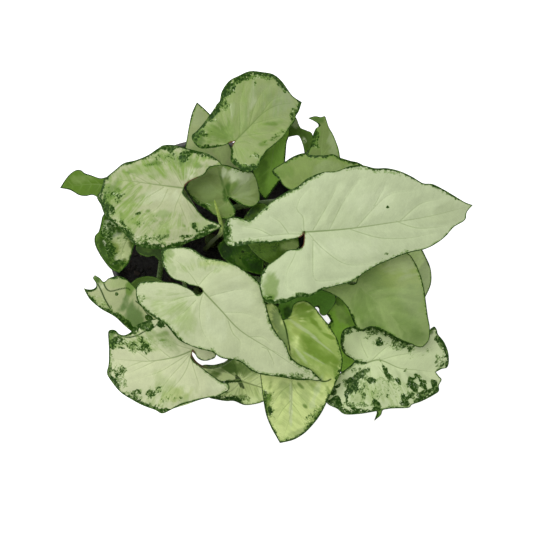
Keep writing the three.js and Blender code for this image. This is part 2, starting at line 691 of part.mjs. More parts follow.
// The leaf's own axes on the plan: from its root, along towards the tip and across to the left.
function leafAxes(leaf) {
  const length = Math.hypot(leaf.tip[0] - leaf.root[0], leaf.tip[1] - leaf.root[1]);
  const ahead = [(leaf.tip[0] - leaf.root[0]) / length, (leaf.tip[1] - leaf.root[1]) / length];
  const place = ([x, y]) => {
    const [dx, dy] = [x - leaf.root[0], y - leaf.root[1]];
    return [dx * ahead[0] + dy * ahead[1], dy * ahead[0] - dx * ahead[1]];
  };
  return { length, ahead, place };
}

function midribLine(leaf) {
  const points = [leaf.root.slice(0, 2), ...leaf.midrib, leaf.tip.slice(0, 2)];
  return smoothLine(points, OUTLINE_SAMPLES);
}

// How far the midrib wanders sideways at a distance along the leaf.
function midribOffset(line, axes, along) {
  if (along <= 0) {
    return 0;
  }
  const next = line.findIndex((point) => axes.place(point)[0] >= along);
  if (next < 1) {
    return 0;
  }
  const [a0, c0] = axes.place(line[next - 1]);
  const [a1, c1] = axes.place(line[next]);
  return c0 + ((c1 - c0) * (along - a0)) / Math.max(a1 - a0, 1e-6);
}

// Height of the blade's middle surface over a plan point.
function bladeHeight(leaf, axes, line, point) {
  const [along, across] = axes.place(point);
  const { arch, back, lean, fold, droop } = leaf.form;
  const part = along / axes.length;
  const slope = leaf.tip[2] - leaf.root[2];
  const lengthwise = along > 0 ? slope * part + 4 * arch * part * (1 - part) : back * along;
  const side = across - midribOffset(line, axes, along);
  const crosswise = lean * side + fold * (Math.hypot(side, 2) - 2) - (droop * side * side) / axes.length;
  return leaf.root[2] + lengthwise + crosswise;
}

function between(a, b, part) {
  return [a[0] + (b[0] - a[0]) * part, a[1] + (b[1] - a[1]) * part];
}

// Pairs of plan points for one half of a blade: where a side vein starts, and where it meets the margin.
// The veins of the basal lobe spring from a lobe vein that runs from the root into the lobe, first on
// its inner side and then on its outer side. All the others spring from the midrib. A bare lobe, whose
// inner margin is nearly straight or whose outer margin is short, has its veins from the root instead.
function halfBlade(leaf, axes, line, points) {
  const root = leaf.root.slice(0, 2);
  const margin = smoothLine([root, ...points, leaf.tip.slice(0, 2)], OUTLINE_SAMPLES);
  const lead = margin.map((point) => {
    const [along, across] = axes.place(point);
    return along - VEIN_SLANT * Math.abs(across);
  });
  const shoulder = lead.findLastIndex((value) => value < 0) + 1;
  const reach = margin.map(([x, y]) => Math.hypot(x - root[0], y - root[1]));
  let lobeTip = 0;
  for (let i = 0; i <= shoulder; i += 1) {
    lobeTip = reach[i] > reach[lobeTip] ? i : lobeTip;
  }
  const [across, ahead] = [margin[lobeTip][0] - root[0], margin[lobeTip][1] - root[1]];
  const bulges = margin.slice(0, lobeTip + 1).map(([x, y]) => {
    return Math.abs((x - root[0]) * ahead - (y - root[1]) * across) / reach[lobeTip];
  });
  const slender = Math.max(...bulges) < SLENDER_LOBE;
  const outerSteps = Math.min(Math.floor((shoulder - lobeTip) / LEAST_SAMPLES), LOBE_STEPS);
  const bare = slender || outerSteps < LOBE_STEPS;
  const lobeEnd = bare ? root : between(root, margin[lobeTip], LOBE_VEIN);
  const firstStep = slender ? LOBE_STEPS : Number(bare);
  const pairs = [];
  for (let i = firstStep; i <= LOBE_STEPS; i += 1) {
    const part = i / LOBE_STEPS;
    pairs.push([between(root, lobeEnd, part), margin[Math.round(lobeTip * part)]]);
  }
  for (let i = 1; i <= outerSteps; i += 1) {
    const part = i / outerSteps;
    const sample = Math.round(lobeTip + (shoulder - lobeTip) * part);
    pairs.push([between(lobeEnd, root, part), margin[sample]]);
  }
  for (let i = 1; i <= FRONT_STEPS; i += 1) {
    const along = (axes.length * i) / FRONT_STEPS;
    const start = line[Math.round((OUTLINE_SAMPLES * i) / FRONT_STEPS)];
    const found = lead.findIndex((value, sample) => sample >= shoulder && value >= along - 0.01);
    pairs.push([start, i === FRONT_STEPS || found < 0 ? margin[OUTLINE_SAMPLES] : margin[found]]);
  }
  return pairs;
}

// Area of the triangle between three corners, as seen from above.
function planArea(corners, a, b, c) {
  const [[ax, ay], [bx, by], [cx, cy]] = [corners[a], corners[b], corners[c]];
  return Math.abs((bx - ax) * (cy - ay) - (cx - ax) * (by - ay)) / 2;
}

// The blade as a thin closed solid: an upper and a lower skin, joined by an edge round the margin.
function bladeGeometry(leaf) {
  const axes = leafAxes(leaf);
  const line = midribLine(leaf);
  const corners = [];
  const triangles = [];
  for (const side of ['left', 'right']) {
    const pairs = halfBlade(leaf, axes, line, leaf[side]);
    const first = corners.length;
    for (const [start, end] of pairs) {
      for (let j = 0; j <= CROSS_STEPS; j += 1) {
        const point = between(start, end, j / CROSS_STEPS);
        const height = bladeHeight(leaf, axes, line, point);
        const [x, y] = atHeight(point, height);
        corners.push([x, y, height + BLADE_THICKNESS / 2], [x, y, height - BLADE_THICKNESS / 2]);
      }
    }
    const corner = (i, j, skin) => first + 2 * (i * (CROSS_STEPS + 1) + j) + skin;
    const quad = (a, b, c, d) => {
      const [p, q] = side === 'left' ? [b, d] : [d, b];
      const acrossAC = Math.min(planArea(corners, a, p, c), planArea(corners, a, c, q));
      const acrossPQ = Math.min(planArea(corners, a, p, q), planArea(corners, p, c, q));
      if (acrossAC > acrossPQ) {
        triangles.push([a, p, c], [a, c, q]);
      } else {
        triangles.push([a, p, q], [p, c, q]);
      }
    };
    for (let j = 0; j < CROSS_STEPS; j += 1) {
      quad(corner(0, j, 0), corner(0, j + 1, 0), corner(0, j + 1, 1), corner(0, j, 1));
    }
    for (let i = 0; i < pairs.length - 1; i += 1) {
      for (let j = 0; j < CROSS_STEPS; j += 1) {
        quad(corner(i, j + 1, 0), corner(i, j, 0), corner(i + 1, j, 0), corner(i + 1, j + 1, 0));
        quad(corner(i, j + 1, 1), corner(i + 1, j + 1, 1), corner(i + 1, j, 1), corner(i, j, 1));
      }
      const rim = CROSS_STEPS;
      quad(corner(i, rim, 0), corner(i + 1, rim, 0), corner(i + 1, rim, 1), corner(i, rim, 1));
    }
  }
  return closedGeometry(corners, triangles);
}

// ---- Stalks ----

// A stalk rises beside its stem and bends out to the blade. Its end stops just under the blade, a
// little ahead of the root.
function stalkGeometry(leaf) {
  const axes = leafAxes(leaf);
  const line = midribLine(leaf);
  const seat = [leaf.root[0] + axes.ahead[0] * STALK_INSET, leaf.root[1] + axes.ahead[1] * STALK_INSET];
  const heights = [];
  for (let i = 0; i < STALK_SIDES; i += 1) {
    const turn = (2 * Math.PI * i) / STALK_SIDES;
    const [x, y] = [seat[0] + SEAT_RADIUS * Math.cos(turn), seat[1] + SEAT_RADIUS * Math.sin(turn)];
    heights.push(bladeHeight(leaf, axes, line, [x, y]));
  }
  const underside = Math.min(...heights) - BLADE_THICKNESS / 2;
  const [stemX, stemY] = STEMS[leaf.stalk.stem];
  const angle = THREE.MathUtils.degToRad(leaf.stalk.slot);
  const ring = STEM_FOOT_RADIUS + STALK_FOOT_RADIUS + CLEARANCE;
  const foot = new THREE.Vector3(
    stemX + ring * Math.cos(angle),
    stemY + ring * Math.sin(angle),
    SOIL_TOP + 2 * CLEARANCE,
  );
  const reach = new THREE.Vector3(...atHeight(seat, underside)).sub(foot);
  const neck = leaf.stalk.neck ?? [-reach.x * NECK_LEAN, -reach.y * NECK_LEAN, -reach.z * NECK_DROP];
  const tilt = Math.hypot(neck[0], neck[1]) / Math.hypot(...neck);
  const end = new THREE.Vector3(...atHeight(seat, underside - CLEARANCE - STALK_NECK_RADIUS * tilt));
  const low = leaf.stalk.bow
    ? new THREE.Vector3(...leaf.stalk.bow)
    : new THREE.Vector3(reach.x * BOW_LEAN, reach.y * BOW_LEAN, reach.z * BOW_RISE).add(foot);
  const high = new THREE.Vector3(...neck).add(end);
  const curve = new THREE.CubicBezierCurve3(foot, low, high, end);
  return taperedBar(curve, STALK_STEPS, STALK_SIDES, STALK_FOOT_RADIUS, STALK_NECK_RADIUS);
}

// A young leaf, still rolled into a thin spike.
function sproutGeometry() {
  const curve = new THREE.CatmullRomCurve3(SPROUT_PATH.map((point) => new THREE.Vector3(...point)));
  return taperedBar(curve, STALK_STEPS, STALK_SIDES, STALK_FOOT_RADIUS, SPROUT_TIP_RADIUS);
}

// ---- The whole plant ----

addMesh('pot', await potGeometry(), potPlastic);
addMesh('soil', soilGeometry(), pottingSoil);
for (const [name, foot] of Object.entries(STEMS)) {
  addMesh(`stem_${name}`, stemGeometry(foot), stemGreen);
}
addMesh('sprout', sproutGeometry(), sproutGreen);
for (const leaf of LEAVES) {
  addMesh(`stalk_${leaf.name}`, stalkGeometry(leaf), stalkGreen);
  addMesh(`blade_${leaf.name}`, bladeGeometry(leaf), BLADE_MATERIALS[leaf.colour ?? 'pale']);
}

export default plant;
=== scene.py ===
import bpy
import numpy as np
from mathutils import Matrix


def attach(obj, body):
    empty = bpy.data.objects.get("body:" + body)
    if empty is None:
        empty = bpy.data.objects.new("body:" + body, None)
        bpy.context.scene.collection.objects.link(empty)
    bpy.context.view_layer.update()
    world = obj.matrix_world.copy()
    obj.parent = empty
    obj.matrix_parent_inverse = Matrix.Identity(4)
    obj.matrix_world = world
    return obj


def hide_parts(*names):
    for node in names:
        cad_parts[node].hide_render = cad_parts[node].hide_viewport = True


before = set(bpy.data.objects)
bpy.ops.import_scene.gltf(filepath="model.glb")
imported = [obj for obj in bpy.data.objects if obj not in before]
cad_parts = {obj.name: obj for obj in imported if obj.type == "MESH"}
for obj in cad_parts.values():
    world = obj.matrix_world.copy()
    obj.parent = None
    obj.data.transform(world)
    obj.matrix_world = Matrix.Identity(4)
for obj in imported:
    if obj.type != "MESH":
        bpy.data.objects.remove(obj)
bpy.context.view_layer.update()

# ---- Camera, floor and light ----
# The camera hangs high over the plant and looks straight down, with the plant's back at the top of
# the picture. The floor is plain and pale, under one broad soft lamp and an even pale sky.

MEETING_POINT = np.array([34.8, -15.7, 900.0])  # the camera's place, in millimetres
LENS = 90.37
SENSOR = 36
FLOOR_HALF = 4
FLOOR_DROP = 0.0004
FLOOR_COLOUR = (0.86, 0.86, 0.85, 1)
FLOOR_GLOW = 0.62
SKY_STRENGTH = 0.42
LAMP_PLACE = (-0.45, 0.5, 2.0)
LAMP_SIZE = 1.3
LAMP_POWER = 30

camera_data = bpy.data.cameras.new("camera")
camera_data.lens = LENS
camera_data.sensor_width = SENSOR
camera_data.clip_start = 0.01
camera = bpy.data.objects.new("camera", camera_data)
camera.location = MEETING_POINT / 1000
bpy.context.scene.collection.objects.link(camera)
bpy.context.scene.camera = camera
bpy.context.scene.view_settings.view_transform = "Standard"

floor_mesh = bpy.data.meshes.new("floor")
floor_square = ((-1, -1), (1, -1), (1, 1), (-1, 1))
floor_corners = [(x * FLOOR_HALF, y * FLOOR_HALF, -FLOOR_DROP) for x, y in floor_square]
floor_mesh.from_pydata(floor_corners, [], [(0, 1, 2, 3)])
floor = bpy.data.objects.new("floor", floor_mesh)
bpy.context.scene.collection.objects.link(floor)
floor_paint = bpy.data.materials.new("floor")
floor_paint.use_nodes = True
floor_shader = floor_paint.node_tree.nodes["Principled BSDF"]
floor_shader.inputs["Base Color"].default_value = FLOOR_COLOUR
floor_shader.inputs["Roughness"].default_value = 0.9
floor_shader.inputs["Specular IOR Level"].default_value = 0.1
floor_shader.inputs["Emission Color"].default_value = (1, 1, 1, 1)
floor_shader.inputs["Emission Strength"].default_value = FLOOR_GLOW
floor_mesh.materials.append(floor_paint)

sky = bpy.data.worlds.new("sky")
sky.use_nodes = True
sky.node_tree.nodes["Background"].inputs["Color"].default_value = (1, 1, 1, 1)
sky.node_tree.nodes["Background"].inputs["Strength"].default_value = SKY_STRENGTH
bpy.context.scene.world = sky

lamp_data = bpy.data.lights.new("soft_lamp", "AREA")
lamp_data.energy = LAMP_POWER
lamp_data.size = LAMP_SIZE
lamp = bpy.data.objects.new("soft_lamp", lamp_data)
lamp.location = LAMP_PLACE
lamp.rotation_euler = (-lamp.location).to_track_quat("-Z", "Y").to_euler()
bpy.context.scene.collection.objects.link(lamp)

# ---- Pot ----
# A thin moulded pot of dark recycled plastic: a tapered wall with shallow flutes, a stepped band under
# the rolled rim, and a flat floor with six drain holes. One moulding, matt with a slight sheen.

POT_PROFILE = [
    (0, 0), (20, 0), (36, 0), (40.8, 0), (41.6, 0.25), (42.1, 0.9), (42.6, 2), (42.9, 3), (42.7, 3.8),
    (43.4, 8), (44.9, 18), (46.4, 28), (48, 38), (49.5, 48), (51, 58), (52.5, 68), (53.9, 77),
    (54.3, 79.2), (55, 79.8), (55.1, 80.8), (54.7, 81.5), (55.6, 88), (56.2, 91.4), (56.5, 92),
    (57.4, 92.3), (58.6, 92.7), (58.9, 93.4), (59.3, 98), (59.75, 102.8), (60, 103.5), (60, 104.2),
    (59.6, 104.8),
    (58.9, 105), (57.7, 105), (57.1, 104.7), (56.8, 104), (56.4, 100), (55.4, 93.5), (54.9, 91),
    (52, 72), (48.4, 48), (44.7, 24), (41.8, 5), (41.2, 3.2), (40.2, 2.5), (20, 2.4), (0, 2.4),
]
OUTSIDE_RINGS = 30
POT_TURNS = 160
FLUTES = 20
FLUTE_DEPTH = 0.35
FLUTE_SPAN = (6, 76)
FLUTE_FADE = 8
DRAIN_HOLES = 6
DRAIN_RADIUS = 4
DRAIN_CIRCLE = 29
DRILL_SIDES = 24
DRILL_SPAN = (-5, 8)
POT_SHARP = 0.6


def put_mesh(name, points, faces, sharp_angle=None):
    """A smooth mesh object at the origin, from points in millimetres and a list of arrays of faces.
    Edges that bend by more than sharp_angle, in radians, stay sharp."""
    mesh = bpy.data.meshes.new(name)
    mesh.from_pydata((points / 1000).tolist(), [], [face for array in faces for face in array.tolist()])
    mesh.polygons.foreach_set("use_smooth", np.ones(len(mesh.polygons), bool))
    if sharp_angle is not None:
        mesh.set_sharp_from_angle(angle=sharp_angle)
    mesh.update()
    piece = bpy.data.objects.new(name, mesh)
    bpy.context.scene.collection.objects.link(piece)
    return piece


def grid_faces(rows, columns, closed=True):
    """Quads between the rows of a grid of points, whose columns go round if closed is true."""
    across = columns if closed else columns - 1
    i, j = np.meshgrid(np.arange(rows - 1), np.arange(across), indexing="ij")
    k = (j + 1) % columns
    corners = [i * columns + j, i * columns + k, (i + 1) * columns + k, (i + 1) * columns + j]
    return np.stack(corners, -1).reshape(-1, 4)


def fan(start, sides, hub, onward=True):
    """Triangles from the ring of points that begins at start to the point hub. onward is true for the hub
    before a ring's grid of faces and false for the hub after it, so that all faces look the same way."""
    j = start + np.arange(sides)
    k = start + (np.arange(sides) + 1) % sides
    middle = np.full(sides, hub)
    return np.stack([j, middle, k] if onward else [k, middle, j], -1)


def add_node(tree, kind, sockets=(), **settings):
    """Adds a shader node, with its settings, and sets or links the inputs that sockets names."""
    node = tree.nodes.new("ShaderNode" + kind)
    for name, value in settings.items():
        setattr(node, name, value)
    for key, value in dict(sockets).items():
        if isinstance(value, bpy.types.NodeSocket):
            tree.links.new(value, node.inputs[key])
        else:
            node.inputs[key].default_value = value
    return node


def calc(tree, operation, *values):
    """One step of arithmetic on values or sockets."""
    return add_node(tree, "Math", dict(enumerate(values)), operation=operation).outputs[0]


def times(tree, first, second):
    """One value times another."""
    return calc(tree, "MULTIPLY", first, second)


def scaled(tree, value, factor, added):
    """A value times a factor, plus another value."""
    return calc(tree, "MULTIPLY_ADD", value, factor, added)


def ease(tree, value, low, high, start=0.0, end=1.0):
    """Carries a value from the range low to high, smoothly, to the range start to end."""
    sockets = {0: value, 1: low, 2: high, 3: start, 4: end}
    return add_node(tree, "MapRange", sockets, interpolation_type="SMOOTHSTEP").outputs[0]


def mix_colour(tree, amount, first, second):
    """The first colour, mixed with the second by an amount from 0 to 1."""
    return add_node(tree, "Mix", {0: amount, 6: first, 7: second}, data_type="RGBA").outputs[2]


def darkened(tree, colour, shade):
    """A colour multiplied by a shade, which may also be above 1 and lighten it."""
    sockets = {0: 1.0, 6: colour, 7: shade}
    return add_node(tree, "Mix", sockets, data_type="RGBA", blend_type="MULTIPLY").outputs[2]


def stored(tree, name, output="Fac"):
    """What a piece stores at each of its points under a name."""
    return add_node(tree, "Attribute", attribute_name=name).outputs[output]


def scaled_place(tree, place, scale):
    """A place with each of its axes scaled, which stretches a pattern where the scale is small."""
    return add_node(tree, "Mapping", {0: place, 3: scale}).outputs[0]


def noise(tree, place, scale, detail=2.0, roughness=0.5, distortion=0.0):
    """A cloud of values near 0.5, with about scale blobs in a metre."""
    sockets = {"Vector": place, "Scale": scale, "Detail": detail, "Roughness": roughness}
    return add_node(tree, "TexNoise", {**sockets, "Distortion": distortion}).outputs[0]


def coat(tree, shader, colour, roughness, specular, height, strength, distance):
    """Gives a shader its colour, roughness and specular level, and a bump of the given height, strength
    and distance in metres."""
    tree.links.new(colour, shader.inputs["Base Color"])
    tree.links.new(roughness, shader.inputs["Roughness"])
    shader.inputs["Specular IOR Level"].default_value = specular
    bump = add_node(tree, "Bump", {"Height": height, "Strength": strength, "Distance": distance})
    tree.links.new(bump.outputs[0], shader.inputs["Normal"])


def new_material(name):
    """A new material with a Principled shader, its node tree and that shader."""
    material = bpy.data.materials.new(name)
    material.use_nodes = True
    return material, material.node_tree, material.node_tree.nodes["Principled BSDF"]


def turned_pot():
    """Each profile point goes round the axis, from the middle of the base up the outside and down the
    inside. The wall's outside swells by the flute depth times the cosine of the flute count times the
    angle, fading out at both ends of the flutes."""
    radius, height = np.array(POT_PROFILE, float).T
    radius, height = radius[1:-1, None], height[1:-1, None]
    turn = np.linspace(0, 2 * np.pi, POT_TURNS, endpoint=False)[None, :]
    low, high = FLUTE_SPAN
    window = np.clip((height - low) / FLUTE_FADE, 0, 1) * np.clip((high - height) / FLUTE_FADE, 0, 1)
    outside = (np.arange(len(radius)) < OUTSIDE_RINGS)[:, None]
    swollen = radius + FLUTE_DEPTH * np.cos(FLUTES * turn) * window * outside
    rings = np.stack([swollen * np.cos(turn), swollen * np.sin(turn), height + 0 * turn], -1).reshape(-1, 3)
    points = np.vstack([rings, [[0, 0, POT_PROFILE[0][1]], [0, 0, POT_PROFILE[-1][1]]]])
    count = len(rings)
    under, inside = fan(0, POT_TURNS, count), fan(count - POT_TURNS, POT_TURNS, count + 1, onward=False)
    return points, [grid_faces(len(radius), POT_TURNS), under, inside]


def drilled(piece):
    """Cuts the six drain holes right through the pot's floor."""
    turn = np.linspace(0, 2 * np.pi, DRILL_SIDES, endpoint=False)
    ring = np.stack([np.cos(turn), np.sin(turn)], -1) * DRAIN_RADIUS
    points, faces = [], []
    for hole in range(DRAIN_HOLES):
        angle = 2 * np.pi * hole / DRAIN_HOLES
        centre = DRAIN_CIRCLE * np.array([np.cos(angle), np.sin(angle)])
        points += [np.hstack([ring + centre, np.full((DRILL_SIDES, 1), end)]) for end in DRILL_SPAN]
        start = 2 * DRILL_SIDES * hole
        low_ring = start + np.arange(DRILL_SIDES)
        faces += (grid_faces(2, DRILL_SIDES) + start).tolist()
        faces += [low_ring[::-1].tolist(), (low_ring + DRILL_SIDES).tolist()]
    mesh = bpy.data.meshes.new("drill")
    mesh.from_pydata((np.vstack(points) / 1000).tolist(), [], faces)
    drill = bpy.data.objects.new("drill", mesh)
    bpy.context.scene.collection.objects.link(drill)
    cut = piece.modifiers.new("drain holes", "BOOLEAN")
    cut.operation = "DIFFERENCE"
    cut.object = drill
    shaped = bpy.data.meshes.new_from_object(piece.evaluated_get(bpy.context.evaluated_depsgraph_get()))
    piece.modifiers.clear()
    piece.data = shaped
    bpy.data.objects.remove(drill)
    shaped.polygons.foreach_set("use_smooth", np.ones(len(shaped.polygons), bool))
    shaped.set_sharp_from_angle(angle=POT_SHARP)


pot_plastic, tree, shader = new_material("pot_plastic")
place = add_node(tree, "TexCoord").outputs["Object"]
grain = noise(tree, place, 2600, 3)
dust = noise(tree, place, 55, 5, 0.65)
height = add_node(tree, "SeparateXYZ", {0: place}).outputs[2]
high_up = ease(tree, height, 0.06, 0.104)
dusty = times(tree, ease(tree, dust, 0.48, 0.72), scaled(tree, high_up, 0.35, 0.2))
colour = mix_colour(tree, dusty, (0.0125, 0.0128, 0.0135, 1), (0.062, 0.055, 0.046, 1))
coat(tree, shader, colour, scaled(tree, dust, 0.25, 0.3), 0.45, grain, 0.25, 0.0003)

pot = put_mesh("nursery_pot", *turned_pot())
drilled(pot)
pot.data.materials.clear()
pot.data.materials.append(pot_plastic)
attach(pot, "root")
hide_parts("pot")

# ---- Soil ----
# Dark damp potting mix that fills the pot to a little under the rim. Bark crumbs and a few pale grains
# lie loose on its lumpy top, which falls a little towards the wall.

SOIL_FLOOR = 2.7
SOIL_FLOOR_RADIUS = 41.0
SOIL_TOP = 93.0
SOIL_TOP_RADIUS = 54.6
SHELF_RADIUS = 42.4
SHELF_HEIGHT = 92.25
WALL_DROP = 2.2
LUMPS = 40
LUMP_SPAN = (2.5, 12)
LUMP_RISE = 0.016
SETTLED = 0.35
SOIL_RINGS = 70
SOIL_TURNS = 220
MIDDLE_RADIUS = 0.3
CHIPS = 900
GRAINS = 70
CRUMB_CORNERS = 12
CRUMB_REACH = 51.5
CRUMB_TILT = 0.5
rng = np.random.default_rng(7)


def linear(rgb):
    """A colour of 0 to 255 parts as the light it sends back."""
    part = np.asarray(rgb, float) / 255
    return np.where(part > 0.04045, ((part + 0.055) / 1.055) ** 2.4, part / 12.92)


def wave_phases(x, y, seed, short, long, count):
    """Waves of random direction and shift, with lengths from short to long: the phase of each of them at
    each place, and their lengths."""
    seeds = np.random.default_rng(seed)
    wave = seeds.uniform(short, long, count)
    turn, shift = seeds.uniform(0, 2 * np.pi, (2, count))
    return (x[..., None] * np.cos(turn) + y[..., None] * np.sin(turn)) * 2 * np.pi / wave + shift, wave


def soil_height(x, y):
    """The soil's top: a dome that falls by the square of the distance from its middle, falls further from
    the shelf to the wall, and carries forty waves, each a small share of its own length high."""
    r = np.hypot(x, y)
    dome = SOIL_TOP - (SOIL_TOP - SHELF_HEIGHT) * np.clip(r / SHELF_RADIUS, 0, 1) ** 2
    dome -= np.clip((r - SHELF_RADIUS) / (SOIL_TOP_RADIUS - SHELF_RADIUS), 0, 1) ** 1.5 * WALL_DROP
    phase, wave = wave_phases(x, y, 3, *LUMP_SPAN, LUMPS)
    return dome + (np.cos(phase) * LUMP_RISE * wave).sum(-1) - SETTLED


def soil_plug():
    """Rings of points from the middle out over the lumpy top, closer towards the wall, then one ring
    below, with a point in the middle of the top and of the base."""
    r = np.linspace(0.4, 1, SOIL_RINGS) ** 0.8 * SOIL_TOP_RADIUS
    r = (r - r[0]) / (r[-1] - r[0]) * (SOIL_TOP_RADIUS - MIDDLE_RADIUS) + MIDDLE_RADIUS
    turn = np.linspace(0, 2 * np.pi, SOIL_TURNS, endpoint=False)
    x, y = r[:, None] * np.cos(turn), r[:, None] * np.sin(turn)
    top = np.stack([x, y, soil_height(x, y)], -1)
    base_x, base_y = SOIL_FLOOR_RADIUS * np.cos(turn), SOIL_FLOOR_RADIUS * np.sin(turn)
    base = np.stack([base_x, base_y, np.full(SOIL_TURNS, SOIL_FLOOR)], -1)
    rings = np.concatenate([top, base[None]]).reshape(-1, 3)
    points = np.vstack([rings, [[0, 0, soil_height(np.zeros(1), np.zeros(1))[0]], [0, 0, SOIL_FLOOR]]])
    crown = fan(0, SOIL_TURNS, len(rings))
    under = fan(SOIL_RINGS * SOIL_TURNS, SOIL_TURNS, len(rings) + 1, onward=False)
    return points, grid_faces(SOIL_RINGS + 1, SOIL_TURNS)[:, ::-1], np.vstack([crown, under])[:, ::-1]


def crumbs(count, length, flatness, lift):
    """Rough pebbles: an icosahedron's corners, each pulled in by up to a third or out by up to an eighth,
    stretched to a length in the given range, flattened, tilted, turned round at random and laid on the
    soil no further than the crumbs' reach from its middle. lift is their rise in half lengths."""
    g = (1 + 5**0.5) / 2
    ball = np.array([(0, a, b * g) for a in (-1, 1) for b in (-1, 1)], float)
    ball = np.vstack([ball, ball[:, [1, 2, 0]], ball[:, [2, 0, 1]]]) / np.hypot(1, g)
    gap = np.linalg.norm(ball[:, None] - ball[None], axis=2)
    near = (gap > 0.1) & (gap < 1.2)
    a, b, c = np.nonzero(near[:, :, None] & near[:, None, :] & near[None, :, :])
    keep = (a < b) & (a < c)
    a, b, c = a[keep], b[keep], c[keep]
    outward = np.einsum("ij,ij->i", np.cross(ball[b] - ball[a], ball[c] - ball[a]), ball[a]) > 0
    faces = np.stack([a, b, c], -1)[outward]
    size = rng.uniform(*length, (count, 1, 1)) / 2
    stretch = np.stack([np.ones(count), rng.uniform(0.45, 0.8, count), rng.uniform(*flatness, count)], -1)
    shape = ball[None] * rng.uniform(0.68, 1.12, (count, CRUMB_CORNERS, 1)) * size * stretch[:, None]
    rng.normal(size=(count, 3, 3))  # a draw that is passed over, as every later crumb hangs on the order
    tilt = rng.uniform(-CRUMB_TILT, CRUMB_TILT, count)
    spin = rng.uniform(0, 2 * np.pi, count)
    one, none = np.ones(count), np.zeros(count)
    cos, sin = np.cos(tilt), np.sin(tilt)
    rock = np.stack([one, none, none, none, cos, -sin, none, sin, cos], -1).reshape(-1, 3, 3)
    cos, sin = np.cos(spin), np.sin(spin)
    roll = np.stack([cos, -sin, none, sin, cos, none, none, none, one], -1).reshape(-1, 3, 3)
    turned = np.einsum("nij,njk,nvk->nvi", roll, rock, shape)
    r = CRUMB_REACH * np.sqrt(rng.uniform(0, 1, count))
    angle = rng.uniform(0, 2 * np.pi, count)
    x, y = r * np.cos(angle), r * np.sin(angle)
    turned += np.stack([x, y, soil_height(x, y) + lift * size[:, 0, 0]], -1)[:, None]
    order = faces[None] + CRUMB_CORNERS * np.arange(count)[:, None, None]
    return turned.reshape(-1, 3), order.reshape(-1, 3)


def set_layer(piece, name, values, kind="FLOAT", field="value"):
    """Stores one number, vector or colour for each point of a piece."""
    layer = piece.data.attributes.new(name, kind, "POINT")
    layer.data.foreach_set(field, np.asarray(values, np.float32).ravel())


def set_colours(piece, name, colours):
    """Stores one full colour for each point of a piece."""
    set_layer(piece, name, np.hstack([colours, np.ones((len(colours), 1))]), "FLOAT_COLOR", "color")


plug_points, plug_sides, plug_ends = soil_plug()
chip_points, chip_faces = crumbs(CHIPS, (1.4, 5.2), (0.25, 0.6), 0.2)
grain_points, grain_faces = crumbs(GRAINS, (0.7, 1.5), (0.6, 0.9), 0.5)
soil_points = np.vstack([plug_points, chip_points, grain_points])
chip_faces = chip_faces + len(plug_points)
grain_faces = grain_faces + len(plug_points) + len(chip_points)
soil = put_mesh("potting_soil", soil_points, [plug_sides, plug_ends, chip_faces, grain_faces], 0.7)
bark = linear([(20, 16, 12), (32, 24, 16), (14, 12, 10), (44, 34, 23), (18, 17, 15)])
bark_shares = (0.34, 0.2, 0.28, 0.06, 0.12)
pale_grain = linear([(112, 106, 92), (70, 64, 54)])
soil_tint = np.vstack([
    np.tile(linear((15, 13, 11)), (len(plug_points), 1)),
    np.repeat(bark[rng.choice(len(bark), CHIPS, p=bark_shares)], CRUMB_CORNERS, 0),
    np.repeat(pale_grain[rng.choice(len(pale_grain), GRAINS)], CRUMB_CORNERS, 0),
])
set_colours(soil, "tint", soil_tint)

potting_mix, tree, shader = new_material("potting_mix")
place = add_node(tree, "TexCoord").outputs["Object"]
tint = stored(tree, "tint", "Color")
fibre = noise(tree, place, 900, 5, 0.7, 0.4)
speck = ease(tree, noise(tree, place, 420, 4, 0.7), 0.66, 0.72)
colour = mix_colour(tree, times(tree, speck, 0.5), tint, (0.055, 0.035, 0.018, 1))
colour = darkened(tree, colour, scaled(tree, fibre, 1.3, 0.3))
coat(tree, shader, colour, ease(tree, fibre, 0.3, 0.7, 0.95, 0.6), 0.3, fibre, 0.8, 0.0009)
soil.data.materials.append(potting_mix)
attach(soil, "root")
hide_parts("soil")

# ---- Stems ----
# Five short green stems stand in the soil. Each has a ring of scar tissue wherever an older leaf has
# fallen, and ends in a blunt tip.

STEMS = {"left": (-21, 14), "front": (-4, -24), "right": (25, -3), "back": (10, 24), "middle": (2, 0)}
STEM_FOOT = 92.0
STEM_HEIGHT = 117.0
STEM_RADII = (4.2, 2.8)
STEM_SIDES = 28
STEM_ROWS = 60
STEM_WAVER = 0.25
SCAR_STEP = 5.4
SCAR_WIDTH = 0.45
SCAR_RISE = 0.25
TIP_START = 0.88
TIP_SHARE = 0.12


def hump(distance, width):
    """1 at no distance, about a third at the given width, and soon 0 beyond it, like a bell."""
    return np.exp(-((distance / width) ** 2))


def bar(path, radii, sides, swell=None):
    """A closed round bar: at each step along the path a ring of the given radius stands square to it.
    swell multiplies the radius by a number for each step and each point of the ring."""
    ahead = np.gradient(path, axis=0)
    ahead /= np.linalg.norm(ahead, axis=1, keepdims=True)
    steady = np.linalg.svd(ahead)[2][-1]
    side = steady - (ahead @ steady)[:, None] * ahead
    side /= np.linalg.norm(side, axis=1, keepdims=True)
    over = np.cross(ahead, side)
    turn = np.linspace(0, 2 * np.pi, sides, endpoint=False)
    reach = radii[:, None] * (1 if swell is None else swell)
    sideways = side[:, None] * (reach * np.cos(turn))[..., None]
    ring = sideways + over[:, None] * (reach * np.sin(turn))[..., None]
    points = np.vstack([(path[:, None] + ring).reshape(-1, 3), path[:1], path[-1:]])
    rows, count = len(path), len(path) * sides
    ends = [fan(0, sides, count), fan(count - sides, sides, count + 1, onward=False)]
    return points, [grid_faces(rows, sides), *ends]


